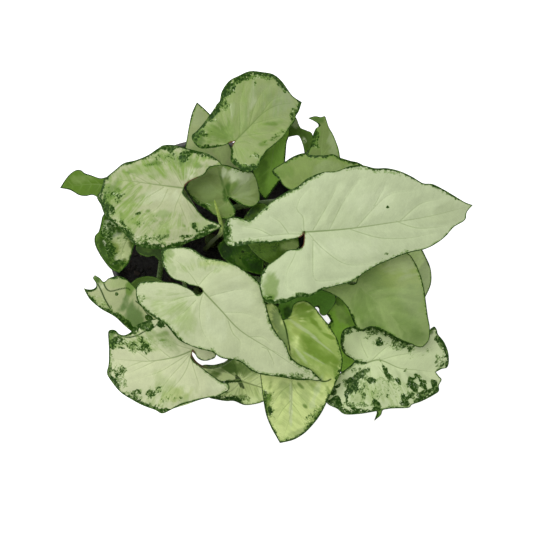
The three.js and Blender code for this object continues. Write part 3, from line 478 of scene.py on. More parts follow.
stem_green, tree, shader = new_material("stem_green")
place = add_node(tree, "TexCoord").outputs["Object"]
scar = stored(tree, "scar")
stretched = scaled_place(tree, place, (1, 1, 0.18))
streak = noise(tree, stretched, 900, 4, 0.6)
colour = mix_colour(tree, ease(tree, streak, 0.35, 0.7), (0.02, 0.042, 0.008, 1), (0.06, 0.085, 0.022, 1))
colour = mix_colour(tree, scar, colour, (0.09, 0.055, 0.025, 1))
coat(tree, shader, colour, scaled(tree, streak, 0.3, 0.35), 0.12, streak, 0.4, 0.0003)

for name, (x, y) in STEMS.items():
    part = np.linspace(0, 1, STEM_ROWS)
    rise = STEM_FOOT + (STEM_HEIGHT - STEM_FOOT) * part
    ring = hump((rise - STEM_FOOT + 1.5 * x % SCAR_STEP) % SCAR_STEP - SCAR_STEP / 2, SCAR_WIDTH)
    radius = STEM_RADII[0] + (STEM_RADII[1] - STEM_RADII[0]) * part + SCAR_RISE * ring
    radius *= np.sqrt(np.clip(1 - ((part - TIP_START) / TIP_SHARE).clip(0) ** 2, 0.0004, 1))
    east, north = STEM_WAVER * np.sin(rise / 3.1 + y), STEM_WAVER * np.cos(rise / 3.7 + x)
    path = np.stack([x + east, y + north, rise], -1)
    stem = put_mesh("stem_body_" + name, *bar(path, radius, STEM_SIDES))
    set_layer(stem, "scar", np.concatenate([np.repeat(ring, STEM_SIDES), [0, 0]]) * 0.8)
    stem.data.materials.append(stem_green)
    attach(stem, "root")
    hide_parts("stem_" + name)

# ---- Leaf plan ----
# Every leaf, as it lies in the plant, and the curves and distances that stalks and blades are made
# from. Plan points lie on one level and move from there along the camera's lines of sight.

PLAN_HEIGHT = 231
MIDRIB_STEPS = 120
CURVE_STEPS = 12
PAIRS_AT_ONCE = 4_000_000
FOLD_ROUNDING = 2

# root is where the stalk meets the blade and tip is the blade's point, with their heights. arch, back,
# lean, fold and droop shape the surface. The stalk stands at the stem, towards slot in degrees, and bow
# and neck are given where its curve needs other handles than usual. tone is the leaf's own colour.
# midrib, left and right are plan points of the midrib and of the two margins, from the root round the
# basal lobe to the tip. veins are side veins. creases are dark lines along folds and slots, painted shade
# there and in part the dark rim of a turned margin. patches are soft spots of colour or flecks: kind,
# centre, half lengths, turn in degrees and amount. Some patches are painted shade or painted shadow, as
# each leaf notes.
LEAVES = {}
LEAVES["big_right"] = dict(
    root=(53.5, 1.5, 228), tip=(138, 15, 204), arch=5, back=0.1, lean=0, fold=0.1, droop=0.25,
    stem="right", slot=45, neck=(5, -2, -53), bow=(41, 16, 132), tone=(182, 194, 154),
    midrib=[(74, 3), (95.5, 6), (116.5, 9.5)],
    left=[(52.5, -0.5), (48, -2), (36.5, -4), (29, -4), (20.5, -5.5), (16, -5.5), (13.5, -2), (13.5, 4),
        (15.5, 8.5), (20.5, 9), (26.5, 7.5), (30.5, 11), (37, 16.5), (44.5, 21.5), (50.5, 24.5),
        (55.5, 28.5), (63, 31.5), (69.5, 32), (76.5, 34.5), (82.5, 35), (89, 33.5), (95, 33.5), (101.5, 32),
        (108, 29), (113, 26), (118, 25.5), (124, 22.5), (129, 19.5), (134, 16.5)],
    right=[(53.5, -3), (52, -6.5), (45.5, -7.5), (41, -11), (35, -15.5), (32, -20), (31.5, -27),
        (34.5, -33.5), (43.5, -34), (51, -31), (56, -31), (60.5, -28.5), (67.5, -26), (75.5, -24),
        (79.5, -22), (84.5, -18.5), (90.5, -15), (97.5, -12), (105.5, -9), (114, -7), (120, -4),
        (124.5, -0.5), (128.5, 4), (134, 7.5), (135, 11.5)],
    veins=[[(53.5, 2.5), (53, 9), (50, 13), (52, 19), (57, 24)], [(58, 2.5), (65, 14.5), (70.5, 25)],
        [(66, 2.5), (73.5, 17), (81, 27.5)], [(79.5, 3.5), (95, 19.5), (108, 22)],
        [(88.5, 14.5), (94, 24.5)], [(55.5, 1.5), (61.5, -5.5), (72, -13.5), (80.5, -15), (93, -13.5)],
        [(76.5, 3), (84, 0.5), (92.5, -1.5), (105.5, -1.5), (119, 1)],
        [(51.5, -2.5), (48.5, -11), (45, -18.5), (45, -26), (49.5, -28.5)],
        [(58, -2.5), (58, -15), (58.5, -21.5), (62.5, -23), (77.5, -21.5)],
        [(52, 0.5), (44.5, 0.5), (34.5, -0.5), (24.5, -2)], [(37.5, -0.5), (30.5, 3), (23.5, 4)],
        [(46, 0.5), (41.5, 6.5), (36.5, 9.5)], [(99.5, 7), (110.5, 3.5), (124.5, 4.5)],
        [(101.5, 7), (111.5, 15.5), (121.5, 18)]],
    # The moss patch on the lower lobe, at (36.5, -25.5), is a painted shadow cast by centre_left, which lies
    # over the lobe's end.
    patches=[("grey", 124.5, 10.5, 13, 6.5, 12, 0.45), ("grey", 66.5, 10, 13, 11, 0, 0.3),
        ("cream", 74, -6.5, 17, 6, 0, 0.35), ("cream", 87.5, 17.5, 15, 8, 0, 0.3),
        ("moss", 25, 6.5, 4, 2.5, 0, 0.4), ("blush", 53, -2.5, 2.5, 5, 0, 1),
        ("moss", 36.5, -25.5, 4, 7.5, 8, 1), ("fern", 35.5, -31.5, 4.5, 2, 0, 0.7),
        ("fringe", 14.5, 1.5, 3, 7.5, 0, 3), ("fleck", 15.5, 0.5, 3.5, 7.5, 0, 0.55),
        ("fringe", 24, -4.5, 8, 2, 0, 2), ("fringe", 35.5, -5, 9, 2, 5, 1.8),
        ("fleck", 29, -2.5, 12, 2, 0, 0.35), ("fringe", 41.5, -33.5, 10, 2, 0, 2.2),
        ("fleck", 36.5, -32, 4.5, 2, 0, 0.6), ("fringe", 55.5, -31, 7, 3, 15, 3.4),
        ("fleck", 54, -31, 6, 2.5, 15, 0.75), ("fringe", 63.5, -28.5, 4.5, 2, 0, 1.8),
        ("fleck", 43, -32.5, 6, 1.5, 0, 0.45), ("fringe", 30.5, 12, 8, 2.5, 30, 0.4),
        ("fleck", 32.5, 12.5, 8, 2.5, 30, 0.4), ("fringe", 51.5, 25.5, 20, 2.5, 30, 0.4),
        ("fringe", 97.5, 32.5, 30, 4, -5, 0.7), ("fringe", 32.5, -13.5, 4, 10, 0, 1.2),
        ("fleck", 95.5, 14, 1, 1, 0, 0.9), ("fleck", 95, -9.5, 1.5, 1, 0, 0.6),
        ("fringe", 121.5, 25, 15, 3, -30, 0.8)],
)
LEAVES["centre_left"] = dict(
    root=(3, -28, 222), tip=(62.5, -72, 196), arch=4, back=0.05, lean=0.05, fold=0.1, droop=0.15,
    stem="front", slot=110, tone=(186, 196, 154),
    midrib=[(11.5, -37), (21.5, -47.5), (35.5, -56.5), (50.5, -66.5), (57.5, -70.5)],
    left=[(2, -26.5), (-0.5, -25.5), (-3.5, -25), (-6.5, -23.5), (-10.5, -22.5), (-13, -21), (-15, -18.5),
        (-17, -15), (-17.5, -11), (-17.5, -7.5), (-13.5, -6.5), (-7.5, -6), (-2, -7), (4, -11),
        (11.5, -12.5), (18.5, -14.5), (25, -18.5), (30.5, -23), (33, -27.5), (34.5, -34.5), (37.5, -44.5),
        (41, -50.5), (44.5, -54.5), (46.5, -60), (50.5, -64), (56, -66.5), (59, -69), (61, -71)],
    right=[(2, -29.5), (0, -30), (-1.5, -28.5), (-3.5, -27), (-6.5, -25.5), (-10.5, -24), (-15, -23.5),
        (-23.5, -23), (-29, -24), (-30.5, -28), (-29.5, -33.5), (-25, -38.5), (-20, -42), (-15, -45.5),
        (-9.5, -52), (-4, -55), (1.5, -57), (7.5, -58.5), (12.5, -61.5), (20.5, -63), (24.5, -65.5),
        (27.5, -68), (33.5, -70), (41.5, -71), (50.5, -72.5), (56.5, -72.5), (60.5, -73)],
    veins=[[(1.5, -29.5), (-6.5, -31), (-14, -33), (-22, -33)],
        [(3, -29.5), (1.5, -35), (1.5, -43), (3.5, -49.5), (8, -55)],
        [(1.5, -27), (-1.5, -22), (-6.5, -16), (-12.5, -11)],
        [(5.5, -31), (12, -29), (23, -27), (29, -29.5)], [(13, -38.5), (24, -39), (31, -42)],
        [(15.5, -42.5), (18, -49), (21.5, -53), (21.5, -58.5)], [(25.5, -51), (32.5, -51), (36.5, -54)],
        [(35.5, -57.5), (37.5, -61.5), (39, -66)], [(0.5, -25.5), (7, -18.5), (13.5, -15.5)],
        [(-0.5, -32.5), (-6.5, -38.5), (-10.5, -41.5)], [(32.5, -56), (39.5, -58.5), (44, -61)]],
    patches=[("moss", -15.5, -8.5, 4.5, 4, -20, 0.85), ("moss", -12.5, -16.5, 3, 4, 0, 0.4),
        ("leaf", -5.5, -43.5, 6.5, 11, 30, 0.6), ("leaf", -19.5, -35.5, 7, 5, 0, 0.3),
        ("cream", 17.5, -32.5, 13, 10, 30, 0.25), ("cream", 9, -47.5, 6, 7, 0, 0.25),
        ("yellow", 9, -13.5, 11, 2.5, 10, 0.45), ("fleck", 9.5, -13, 9, 2, 10, 0.33),
        ("fringe", -23.5, -39.5, 11, 5, -40, 0.6), ("fringe", -12.5, -50, 10, 6, -40, 0.5),
        ("fringe", 49.5, -70.5, 15, 3, 5, 0.8), ("fleck", 46.5, -71, 14, 2, 5, 0.35),
        ("fringe", 39.5, -47.5, 6, 15, 35, 0.4), ("fringe", -16, -11.5, 2.5, 7, 0, 0.7),
        ("fleck", -28.5, -32.5, 2.5, 4, 0, 0.35), ("blush", 1.5, -28, 2, 2.5, 0, 0.3),
        ("green", -14.5, -40, 13, 13, 0, 0.35), ("green", 9, -13.5, 22, 4.5, 8, 0.5),
        ("green", -15.5, -9.5, 5, 7, 0, 0.5)],
)
LEAVES["upper_left"] = dict(
    root=(-6.5, 23.5, 224), tip=(-46.5, 28, 200), arch=4, back=0.05, lean=-0.05, fold=0.08, droop=0.2,
    stem="middle", slot=110, tone=(172, 179, 138),
    midrib=[(-18.5, 25), (-33.5, 27)],
    left=[(-7, 21), (-5, 18.5), (-2, 15.5), (1.5, 11), (5, 8), (9, 6.5), (12.5, 4.5), (8.5, 2), (3, -1),
        (-3, -3), (-7.5, -5), (-13.5, -6.5), (-21, -7), (-27.5, -6), (-32, -4), (-36.5, 1), (-42, 6),
        (-46, 10), (-48, 15), (-50, 19), (-48, 22.5)],
    right=[(-5.5, 25.5), (-2.5, 27.5), (1, 29), (4, 30.5), (6, 33.5), (9, 34.5), (12.5, 35), (10.5, 37.5),
        (6, 40.5), (0.5, 42), (-5.5, 43.5), (-11, 45), (-16.5, 45), (-20, 43), (-24.5, 40), (-30.5, 37.5),
        (-36.5, 36), (-41, 32.5)],
    veins=[[(-7, 24), (-10.5, 30.5), (-14, 36)], [(-5.5, 25), (-3.5, 30), (-2, 35.5)],
        [(-16.5, 24), (-24, 19.5), (-28.5, 17), (-37.5, 15)],
        [(-7.5, 22), (-10.5, 15), (-12.5, 8.5), (-18.5, 4.5)],
        [(-14.5, 23), (-18.5, 15), (-23.5, 11), (-30.5, 8.5)], [(-17, 24.5), (-23.5, 29.5), (-29.5, 32.5)],
        [(-28.5, 26), (-34.5, 23.5), (-41, 20.5)], [(-6.5, 21.5), (-3.5, 14), (1.5, 7)],
        [(-23.5, 25.5), (-30.5, 29.5), (-36.5, 31.5)], [(-9.5, 17.5), (-5, 7), (-3.5, 1.5)],
        [(-23.5, 3.5), (-16, -2.5), (-6, -1)]],
    patches=[("green", -37.5, 19.5, 15, 19, 0, 0.9), ("green", -13.5, 36.5, 25, 9, 0, 1),
        ("green", -23.5, 3.5, 25, 9, 0, 0.7), ("moss", -23.5, 32.5, 18, 4, 0, 0.45),
        ("fleck", -14.5, 37.5, 17, 4, 0, 0.34), ("fleck", -42, 20, 7, 6, 0, 0.4),
        ("leaf", -6, 37, 11, 5, 0, 0.7), ("fern", 0.5, 34.5, 5.5, 2, 0, 0.8),
        ("leaf", -10.5, 31.5, 7, 3, -30, 0.35), ("fern", -21.5, 35.5, 7, 1.5, 8, 0.8),
        ("fleck", -24, 35, 4, 1, 8, 0.5), ("fern", -34, 31.5, 4.5, 1.5, 0, 0.75),
        ("leaf", -27.5, 33.5, 10, 3.5, 10, 0.55), ("fern", -42, 22, 7.5, 7, 0, 0.8),
        ("deep", -42, 19, 5.5, 2, 0, 0.75), ("deep", -39, 22.5, 2.5, 1, -30, 0.7),
        ("fern", -9, 37, 11, 4, 0, 0.5), ("deep", -7.5, 38.5, 1.5, 4, 0, 0.7),
        ("deep", -22.5, 35.5, 5, 1, 8, 0.7), ("deep", -35, 31, 4, 1, -20, 0.5),
        ("deep", -37.5, 9, 1.5, 2, 0, 0.7), ("fleck", -40, 20, 5, 2, 0, 0.6),
        ("fern", -45.5, 16, 3.5, 4, 0, 0.8), ("moss", -28.5, 19.5, 5, 1.5, 35, 0.6),
        ("leaf", -37.5, 16.5, 8, 2, -10, 0.6), ("leaf", -39.5, 11, 5.5, 4.5, 0, 0.75),
        ("leaf", -33.5, 6.5, 6, 4, 0, 0.6), ("fern", -38, 10.5, 1.5, 2, 0, 0.8),
        ("fleck", -29.5, 11, 2, 1, 20, 0.62), ("fleck", -23.5, 6.5, 17, 6, 0, 0.28),
        ("fern", -30, 6, 1.5, 1, 0, 0.8), ("fern", -24.5, 12, 1.5, 1, 20, 0.8),
        ("moss", -17, 10.5, 4.5, 2.5, 0, 0.7), ("fern", -21, 7, 2, 1, 0, 0.6),
        ("fern", -14.5, 2, 1.5, 1.5, 0, 0.8), ("fleck", -1.5, 4.5, 1, 2, 0, 0.95),
        ("fern", -6, 4.5, 1.5, 1.5, 0, 0.8), ("leaf", 4.5, 4.5, 4.5, 3, 0, 0.6),
        ("sage", 0, 6.5, 5, 6, 0, 0.35), ("cream", -18.5, 19.5, 11, 4.5, 0, 0.35),
        ("cream", -3.5, 31.5, 3, 4, -20, 0.5), ("fringe", -14, 44, 6.5, 3, 0, 3.4),
        ("fleck", -13.5, 43.5, 6, 2, 0, 1.1), ("fleck", -6, 39.5, 4, 4, 0, 0.62),
        ("fleck", -12.5, 39.5, 4, 2.5, 0, 0.45), ("fringe", 3, 40.5, 7, 2.5, -15, 1.2),
        ("fringe", -28.5, 38.5, 15, 2, 20, 0.8), ("fringe", -46.5, 14, 3.5, 6.5, 0, 3.4),
        ("fleck", -43.5, 12.5, 4, 4.5, 0, 0.62), ("fringe", -38.5, 2.5, 11, 3.5, -47, 3),
        ("fleck", -36.5, 4.5, 10, 2.5, -47, 0.5), ("fringe", -23.5, -5.5, 10, 3, 0, 2.4),
        ("fleck", -23.5, -1.5, 11, 3, 0, 0.5), ("fringe", -8.5, -5, 9, 2.5, 8, 2.4),
        ("fringe", 1.5, -2, 7, 3, 30, 3.6), ("fleck", 3, 1, 4.5, 3.5, 0, 0.7),
        ("fleck", 8.5, 4, 3.5, 2, 0, 0.8), ("fleck", -5, -0.5, 5, 1.5, 10, 0.5),
        ("fringe", -46.5, 24.5, 2, 6, -20, 0.9), ("blush", -3.5, 26, 5, 4, 0, 1)],
)
LEAVES["top_heart"] = dict(
    root=(19, 47, 222), tip=(52.5, 66.5, 203), arch=4, back=0.05, lean=0, fold=0.14, droop=0.15,
    stem="back", slot=100, neck=(4, -2, -40), tone=(145, 161, 105),
    midrib=[(26.5, 54.5), (33, 61), (40.5, 65)],
    left=[(16.5, 46), (12.5, 44.5), (7, 43.5), (1.5, 43.5), (-2, 47), (-2.5, 50), (0, 52), (3.5, 56),
        (7, 59), (10, 63), (11.5, 67.5), (12.5, 72), (16, 77), (20.5, 79.5), (26.5, 82), (33, 81.5),
        (38, 80.5), (42, 77.5), (45, 73.5), (48, 69.5)],
    right=[(17.5, 44.5), (17, 40.5), (17, 37), (19.5, 34.5), (23.5, 32), (26.5, 32), (30, 33.5), (32, 37.5),
        (34.5, 41.5), (38.5, 45), (42.5, 48.5), (45, 51.5), (47, 54.5), (49, 57), (49.5, 59.5), (51, 62)],
    veins=[[(18, 47.5), (14.5, 53.5), (12.5, 60), (14.5, 67.5)],
        [(21.5, 49.5), (21.5, 57.5), (21.5, 67.5), (24.5, 75.5)],
        [(26, 54), (28.5, 63.5), (32.5, 71.5), (37.5, 75.5)], [(32.5, 61), (37.5, 67.5), (42.5, 69)],
        [(17.5, 46), (9.5, 47), (3, 49)], [(21, 49), (29.5, 50.5), (37.5, 51.5), (43.5, 54)],
        [(27.5, 55.5), (36.5, 58), (44.5, 59)], [(19, 46), (25, 46.5), (31.5, 41.5)],
        [(18.5, 45), (20.5, 39), (23, 34.5)]],
    patches=[("green", 21.5, 58.5, 26, 25, 0, 0.5), ("fern", 12.5, 51.5, 12, 6.5, 0, 0.85),
        ("deep", 0.5, 49, 4, 5, 0, 0.75), ("leaf", 21.5, 52.5, 8, 4, 0, 0.5),
        ("moss", 24.5, 61.5, 1, 8.5, 0, 0.6), ("cream", 27.5, 67.5, 2, 9, -10, 0.35),
        ("cream", 18, 62.5, 2, 5, 0, 0.4), ("moss", 22, 58.5, 1, 6, 0, 0.45),
        ("fern", 36.5, 55.5, 7, 1.5, 5, 0.8), ("leaf", 34, 51, 9, 1.5, 0, 0.7),
        ("fern", 32.5, 45.5, 3, 1.5, 0, 0.8), ("leaf", 23.5, 42.5, 5, 4, 0, 0.4),
        ("sage", 43, 67.5, 8.5, 10, 0, 0.85), ("sage", 32.5, 73.5, 7, 4, 0, 0.3),
        ("fringe", 14.5, 73.5, 4.5, 5.5, 30, 3.6), ("fleck", 16.5, 73.5, 4, 4.5, 40, 0.8),
        ("fringe", 23, 79, 4.5, 2.5, 20, 3.2), ("fleck", 20.5, 77, 3, 2, 30, 0.6),
        ("fringe", 32.5, 80.5, 7.5, 2.5, 0, 1.4), ("fleck", 32.5, 79, 8, 2, 0, 0.55),
        ("fleck", 29.5, 75.5, 1.5, 1.5, 0, 0.5), ("fringe", 42, 75.5, 4.5, 3, -40, 2.4),
        ("fleck", 43.5, 73, 3, 2, -40, 0.65), ("fleck", 48, 60.5, 2.5, 5, 0, 0.6),
        ("fringe", 50.5, 63.5, 3, 4, 0, 1.2), ("fringe", 11.5, 67.5, 2, 6.5, 0, 1.6),
        ("fringe", 5.5, 58.5, 8, 2.5, 45, 2), ("fleck", 14, 67, 3, 6.5, 0, 0.47),
        ("fleck", 8, 58, 4.5, 3, 45, 0.45), ("fleck", 2.5, 50.5, 4.5, 3.5, 0, 0.55),
        ("fleck", 1, 51.5, 2, 1.5, 0, 1.2), ("fringe", 18.5, 36, 3.5, 3, -45, 3.2),
        ("fleck", 27.5, 34, 5.5, 2, 0, 0.75), ("fringe", 27.5, 32.5, 6.5, 2.5, 0, 2.2),
        ("fleck", 30, 39.5, 3, 2, 0, 0.6), ("fringe", 17, 41.5, 1.5, 5.5, 0, 1.6),
        ("fringe", 6.5, 44, 9, 2, 0, 1.6), ("fleck", 39, 49, 6.5, 2, 35, 0.42),
        ("fringe", -1.5, 49, 2.5, 4.5, 0, 1.8), ("blush", 18.5, 46.5, 2.5, 2.5, 0, 1)],
)
LEAVES["upper_front"] = dict(
    root=(52, 18.5, 213), tip=(88, 28.5, 208), arch=3, back=0.05, lean=0, fold=0.08, droop=0.1,
    stem="back", slot=310, tone=(123, 143, 79),
    midrib=[(62.5, 23.5), (75.5, 28)],
    left=[(50, 20.5), (47, 22.5), (44, 24), (42, 26.5), (40.5, 28.5), (38.5, 30), (37.5, 32), (38, 33),
        (40.5, 34.5), (44.5, 37), (47.5, 39), (51, 40.5), (54, 41), (57.5, 40), (61.5, 40), (65, 40),
        (68, 40.5), (71, 39), (74, 38), (77.5, 37), (80, 36.5), (83, 35), (86, 32)],
    right=[(51.5, 16), (51, 13.5), (54.5, 11.5), (60.5, 12), (68.5, 14.5), (76.5, 18.5), (83.5, 23.5)],
    veins=[[(52, 18.5), (46.5, 23.5), (40.5, 29.5)], [(56.5, 20.5), (51.5, 30), (47.5, 36)],
        [(62.5, 23.5), (60.5, 31.5), (60.5, 38)]],
    patches=[("fern", 43, 31.5, 5, 4, 0, 0.5), ("sage", 66.5, 33.5, 13, 4.5, 0, 0.35),
        ("fringe", 51.5, 39, 20, 3.5, 0, 0.9), ("fleck", 47.5, 38.5, 10, 2.5, 25, 0.42),
        ("fringe", 76.5, 37, 10, 3.5, -20, 0.8), ("fringe", 39, 30, 3.5, 4.5, 0, 0.9)],
)
LEAVES["upper_arrow"] = dict(
    root=(61.5, 19, 203), tip=(55.5, 58.5, 184), arch=4, back=0.05, lean=0, fold=0.1, droop=0.1,
    stem="right", slot=90, tone=(106, 125, 68),
    midrib=[(62, 32.5), (62.5, 45), (63, 54.5), (60, 58)],
    left=[(55.5, 19.5), (52.5, 24.5), (52, 31.5), (53, 37), (56, 42.5), (57.5, 46.5), (58, 50),
        (59.5, 53.5), (61.5, 55), (58.5, 57)],
    right=[(66, 19), (70.5, 23), (72.5, 29.5), (72, 36), (71, 42.5), (69.5, 47), (68, 50.5), (66, 54),
        (65, 57), (64, 59.5), (62, 59), (59, 59.5)],
    veins=[[(62.5, 39.5), (66.5, 45), (68, 48.5)], [(62.5, 42.5), (59.5, 46.5)],
        [(62.5, 34.5), (68.5, 39.5)]],
    patches=[("fern", 59.5, 51.5, 3.5, 6, 25, 0.8), ("deep", 59.5, 57.5, 4.5, 2.5, 0, 0.7),
        ("fleck", 59.5, 48.5, 3, 7, 20, 0.62), ("fringe", 58, 48.5, 3, 8, 20, 1.6),
        ("sage", 68.5, 44.5, 3, 8, 0, 0.5)],
)
LEAVES["top_left_grey"] = dict(
    root=(14, 26.5, 192), tip=(0, 66.5, 176), arch=3, back=0.05, lean=0, fold=0.1, droop=0.1,
    stem="back", slot=150, tone=(138, 150, 102),
    midrib=[(10.5, 42.5), (5, 56)],
    left=[(8.5, 24.5), (2.5, 25.5), (-2.5, 29.5), (-5, 35.5), (-6, 42.5), (-5, 48.5), (-4, 54.5),
        (-2.5, 61)],
    right=[(20.5, 25.5), (24, 30), (22, 36.5), (18, 42), (15, 47.5), (11, 54.5), (6, 61)],
    veins=[[(8.5, 46.5), (3.5, 48.5)], [(7.5, 51.5), (9.5, 54.5)], [(11, 40.5), (14.5, 44.5)],
        [(12.5, 35), (7.5, 37.5)]],
    patches=[("sage", -0.5, 60, 4, 6, 0, 0.4), ("leaf", 12.5, 40, 4.5, 6, -20, 0.6),
        ("fern", 1.5, 42.5, 6, 5, 0, 0.4)],
)
LEAVES["shaded_heart"] = dict(
    root=(15.5, 19, 203), tip=(10.5, 35.5, 203), arch=3, back=0.1, lean=0, fold=0.1, droop=0.3,
    stem="middle", slot=20, tone=(119, 137, 79),
    midrib=[(13, 27.5)],
    left=[(17, 16.5), (19, 13.5), (19, 10), (16, 8), (12, 8), (8, 10.5), (4, 13.5), (0, 15.5), (-3.5, 19.5),
        (-5.5, 23.5), (-3.5, 28.5), (1, 32.5), (6, 34.5)],
    right=[(17.5, 18), (21.5, 15.5), (26, 14), (29.5, 15), (31.5, 18), (31, 23), (30, 27.5), (28, 31.5),
        (24.5, 32), (19.5, 33.5), (15, 35)],
    veins=[[(15.5, 19), (8.5, 24.5), (3.5, 30.5)], [(16, 18.5), (21.5, 23.5), (25.5, 28.5)],
        [(15.5, 17.5), (10.5, 14), (4.5, 15)]],
    # The moss patch over the left half and the deep patches in the valley by the stalk are painted shade,
    # where the leaf lies in shadow.
    patches=[("moss", 5, 22.5, 8.5, 10, 0, 0.6), ("cream", 21.5, 30, 8, 4.5, 0, 0.7),
        ("sage", 25, 22.5, 7, 7, 0, 0.5), ("leaf", 28.5, 24.5, 3, 8, -10, 0.6),
        ("deep", 15, 21.5, 2, 6, -8, 0.9), ("deep", 12, 28.5, 1, 6, 15, 0.6),
        ("fern", 14.5, 12.5, 5, 3.5, 0, 0.4), ("leaf", 8.5, 31.5, 5, 2.5, 0, 0.3),
        ("fern", 7.5, 15, 4.5, 3, -30, 0.6), ("cream", 13.5, 31.5, 1.5, 4.5, -10, 0.5),
        ("fern", 18.5, 24.5, 1.5, 5, -40, 0.5), ("fleck", 5, 14.5, 3, 2, -30, 0.6),
        ("fringe", 1.5, 16, 5, 2.5, -40, 1)],
)
LEAVES["top_plain"] = dict(
    root=(40, 53.5, 196), tip=(34.5, 17.5, 180), arch=3, back=0.05, lean=0, fold=0.1, droop=0.1,
    stem="back", slot=50, tone=(125, 165, 68),
    midrib=[(37.5, 37.5)],
    left=[(44.5, 56.5), (46.5, 51.5), (45, 46.5), (44.5, 41.5), (44, 36), (43, 30.5), (40.5, 26),
        (38, 22.5)],
    right=[(34.5, 55.5), (28.5, 50.5), (26.5, 43.5), (27, 36.5), (28, 31), (29.5, 26.5), (31, 21.5)],
    veins=[[(38.5, 47.5), (33.5, 41.5)], [(37.5, 39.5), (41.5, 34.5)], [(36.5, 33.5), (31.5, 28.5)]],
    patches=[("deep", 31.5, 37.5, 3.5, 16, 0, 0.55), ("leaf", 35.5, 47.5, 2.5, 5, 0, 0.3)],
)
LEAVES["far_left_tip"] = dict(
    root=(-35.5, 22.5, 192), tip=(-68.5, 23.5, 186), arch=3, back=0.05, lean=0, fold=0.1, droop=0.1,
    stem="left", slot=120, tone=(85, 115, 36),
    midrib=[(-51, 25.5)],
    left=[(-36.5, 18.5), (-42.5, 16.5), (-48, 18), (-52, 20), (-55.5, 19.5), (-59, 20), (-63.5, 22.5)],
    right=[(-36.5, 27.5), (-41, 30.5), (-45.5, 29), (-48.5, 28.5), (-53, 30), (-56, 31), (-58, 32.5),
        (-60.5, 32.5), (-63.5, 30.5), (-66, 27.5)],
    patches=[("deep", -39.5, 21.5, 6, 4.5, 0, 0.5), ("leaf", -57.5, 28.5, 6, 3, 0, 0.25)],
)
LEAVES["left_variegated"] = dict(
    root=(-28.5, 6.5, 186), tip=(-39, -19, 168), arch=3, back=0.05, lean=0, fold=0.08, droop=0.1,
    stem="left", slot=180, tone=(49, 79, 16),
    midrib=[(-36.5, -5.5)],
    left=[(-24.5, 5.5), (-25, 0.5), (-29.5, -2.5), (-31.5, -6), (-33, -10.5), (-34.5, -14.5)],
    right=[(-33.5, 11.5), (-40.5, 13.5), (-46.5, 10.5), (-48, 6), (-49, 2), (-51, -0.5), (-51, -4.5),
        (-49, -9), (-46, -13.5), (-43, -17)],
    veins=[[(-34.5, -2.5), (-40.5, -3.5), (-44.5, -5.5)], [(-35.5, 1.5), (-41.5, 2.5), (-45.5, 2.5)],
        [(-36.5, -8.5), (-40, -11.5)]],
    patches=[("cream", -39, -1.5, 5.5, 4.5, -30, 0.7), ("cream", -36.5, -6.5, 4, 6, 0, 0.75),
        ("cream", -39, -11, 3, 3, 0, 0.7), ("cream", -43.5, 4.5, 3, 3.5, 0, 0.5),
        ("yellow", -38, -5.5, 7.5, 9.5, 0, 0.5), ("fleck", -44, 1, 5.5, 7.5, 0, 0.62),
        ("fleck", -40, -13.5, 4.5, 2, 0, 0.75), ("fleck", -42.5, -7.5, 4.5, 6, 0, 0.62),
        ("fleck", -37.5, -2.5, 6, 10, 0, 0.3), ("deep", -45.5, -9, 3.5, 5, 0, 0.7),
        ("fern", -49.5, -1, 2, 4.5, 0, 0.5), ("cream", -46, -3.5, 2.5, 0.5, -45, 0.8),
        ("cream", -45.5, -0.5, 2.5, 0.5, -35, 0.7), ("cream", -45, -6, 3, 0.5, -50, 0.7),
        ("cream", -44.5, 3, 3, 0.5, -20, 0.6)],
)
LEAVES["torn_left"] = dict(
    root=(-23.5, -55, 160), tip=(-51, -20, 170), arch=3, back=0.05, lean=0, fold=0.1, droop=0.1,
    stem="left", slot=240, neck=(1, 6, -25), tone=(164, 173, 127),
    midrib=[(-36, -45.5), (-42.5, -38), (-47, -30), (-49.5, -24.5)],
    left=[(-28.5, -55), (-31.5, -50.5), (-33, -45.5), (-36.5, -43), (-42, -40), (-47, -37.5), (-51, -34.5),
        (-54, -31.5), (-56.5, -26.5), (-53.5, -28), (-50.5, -26.5), (-50.5, -24), (-52, -21.5)],
    right=[(-17.5, -52.5), (-15.5, -45), (-18.5, -37.5), (-23.5, -32.5), (-28.5, -28.5), (-32.5, -24.5),
        (-36, -21.5), (-40, -20.5), (-44, -21.5), (-46.5, -23.5), (-48.5, -21.5)],
    veins=[[(-35, -46), (-39.5, -41.5), (-42.5, -38.5)]],
    creases=[
        [(-47, -22.5), (-46, -25.5), (-44.5, -27.5), (-42.5, -28), (-38.5, -27), (-35, -26.5),
         (-33.5, -27.5)], [(-49.5, -24.5), (-47.5, -28.5), (-46, -32), (-44, -35.5), (-42.5, -38.5)],
        [(-30.5, -33), (-27.5, -35.5), (-25, -39), (-22.5, -41.5)]],
    # The shade patch at (-30.5, -40.5) is a painted shadow, cast by the left lobe of centre_left above.
    patches=[("deep", -50.5, -22, 3, 3, 0, 0.95), ("cream", -48, -25.5, 2, 2, 0, 0.4),
        ("fern", -48, -24, 1, 1.5, 0, 0.4), ("leaf", -40, -24, 6.5, 2.5, 5, 0.5),
        ("fern", -33, -26.5, 2, 3.5, 0, 0.95), ("leaf", -48.5, -33.5, 4.5, 3, -40, 0.5),
        ("fleck", -40, -29.5, 1, 1, 0, 1.3), ("shade", -30.5, -40.5, 9, 5.5, -38, 1),
        ("fleck", -23.5, -41.5, 3.5, 2, -45, 1.1), ("fleck", -38, -40.5, 3, 1.5, -20, 0.7),
        ("fringe", -42, -40, 12, 2.5, -30, 1.8), ("fringe", -55.5, -28.5, 2, 4, 0, 1.2),
        ("fringe", -51, -32.5, 4, 3, -50, 0.8), ("fringe", -40, -21, 6, 1.5, 0, 0.8),
        ("fleck", -44.5, -36.5, 7, 2.5, -35, 0.4), ("fleck", -50.5, -30.5, 4, 2.5, 0, 0.35)],
)
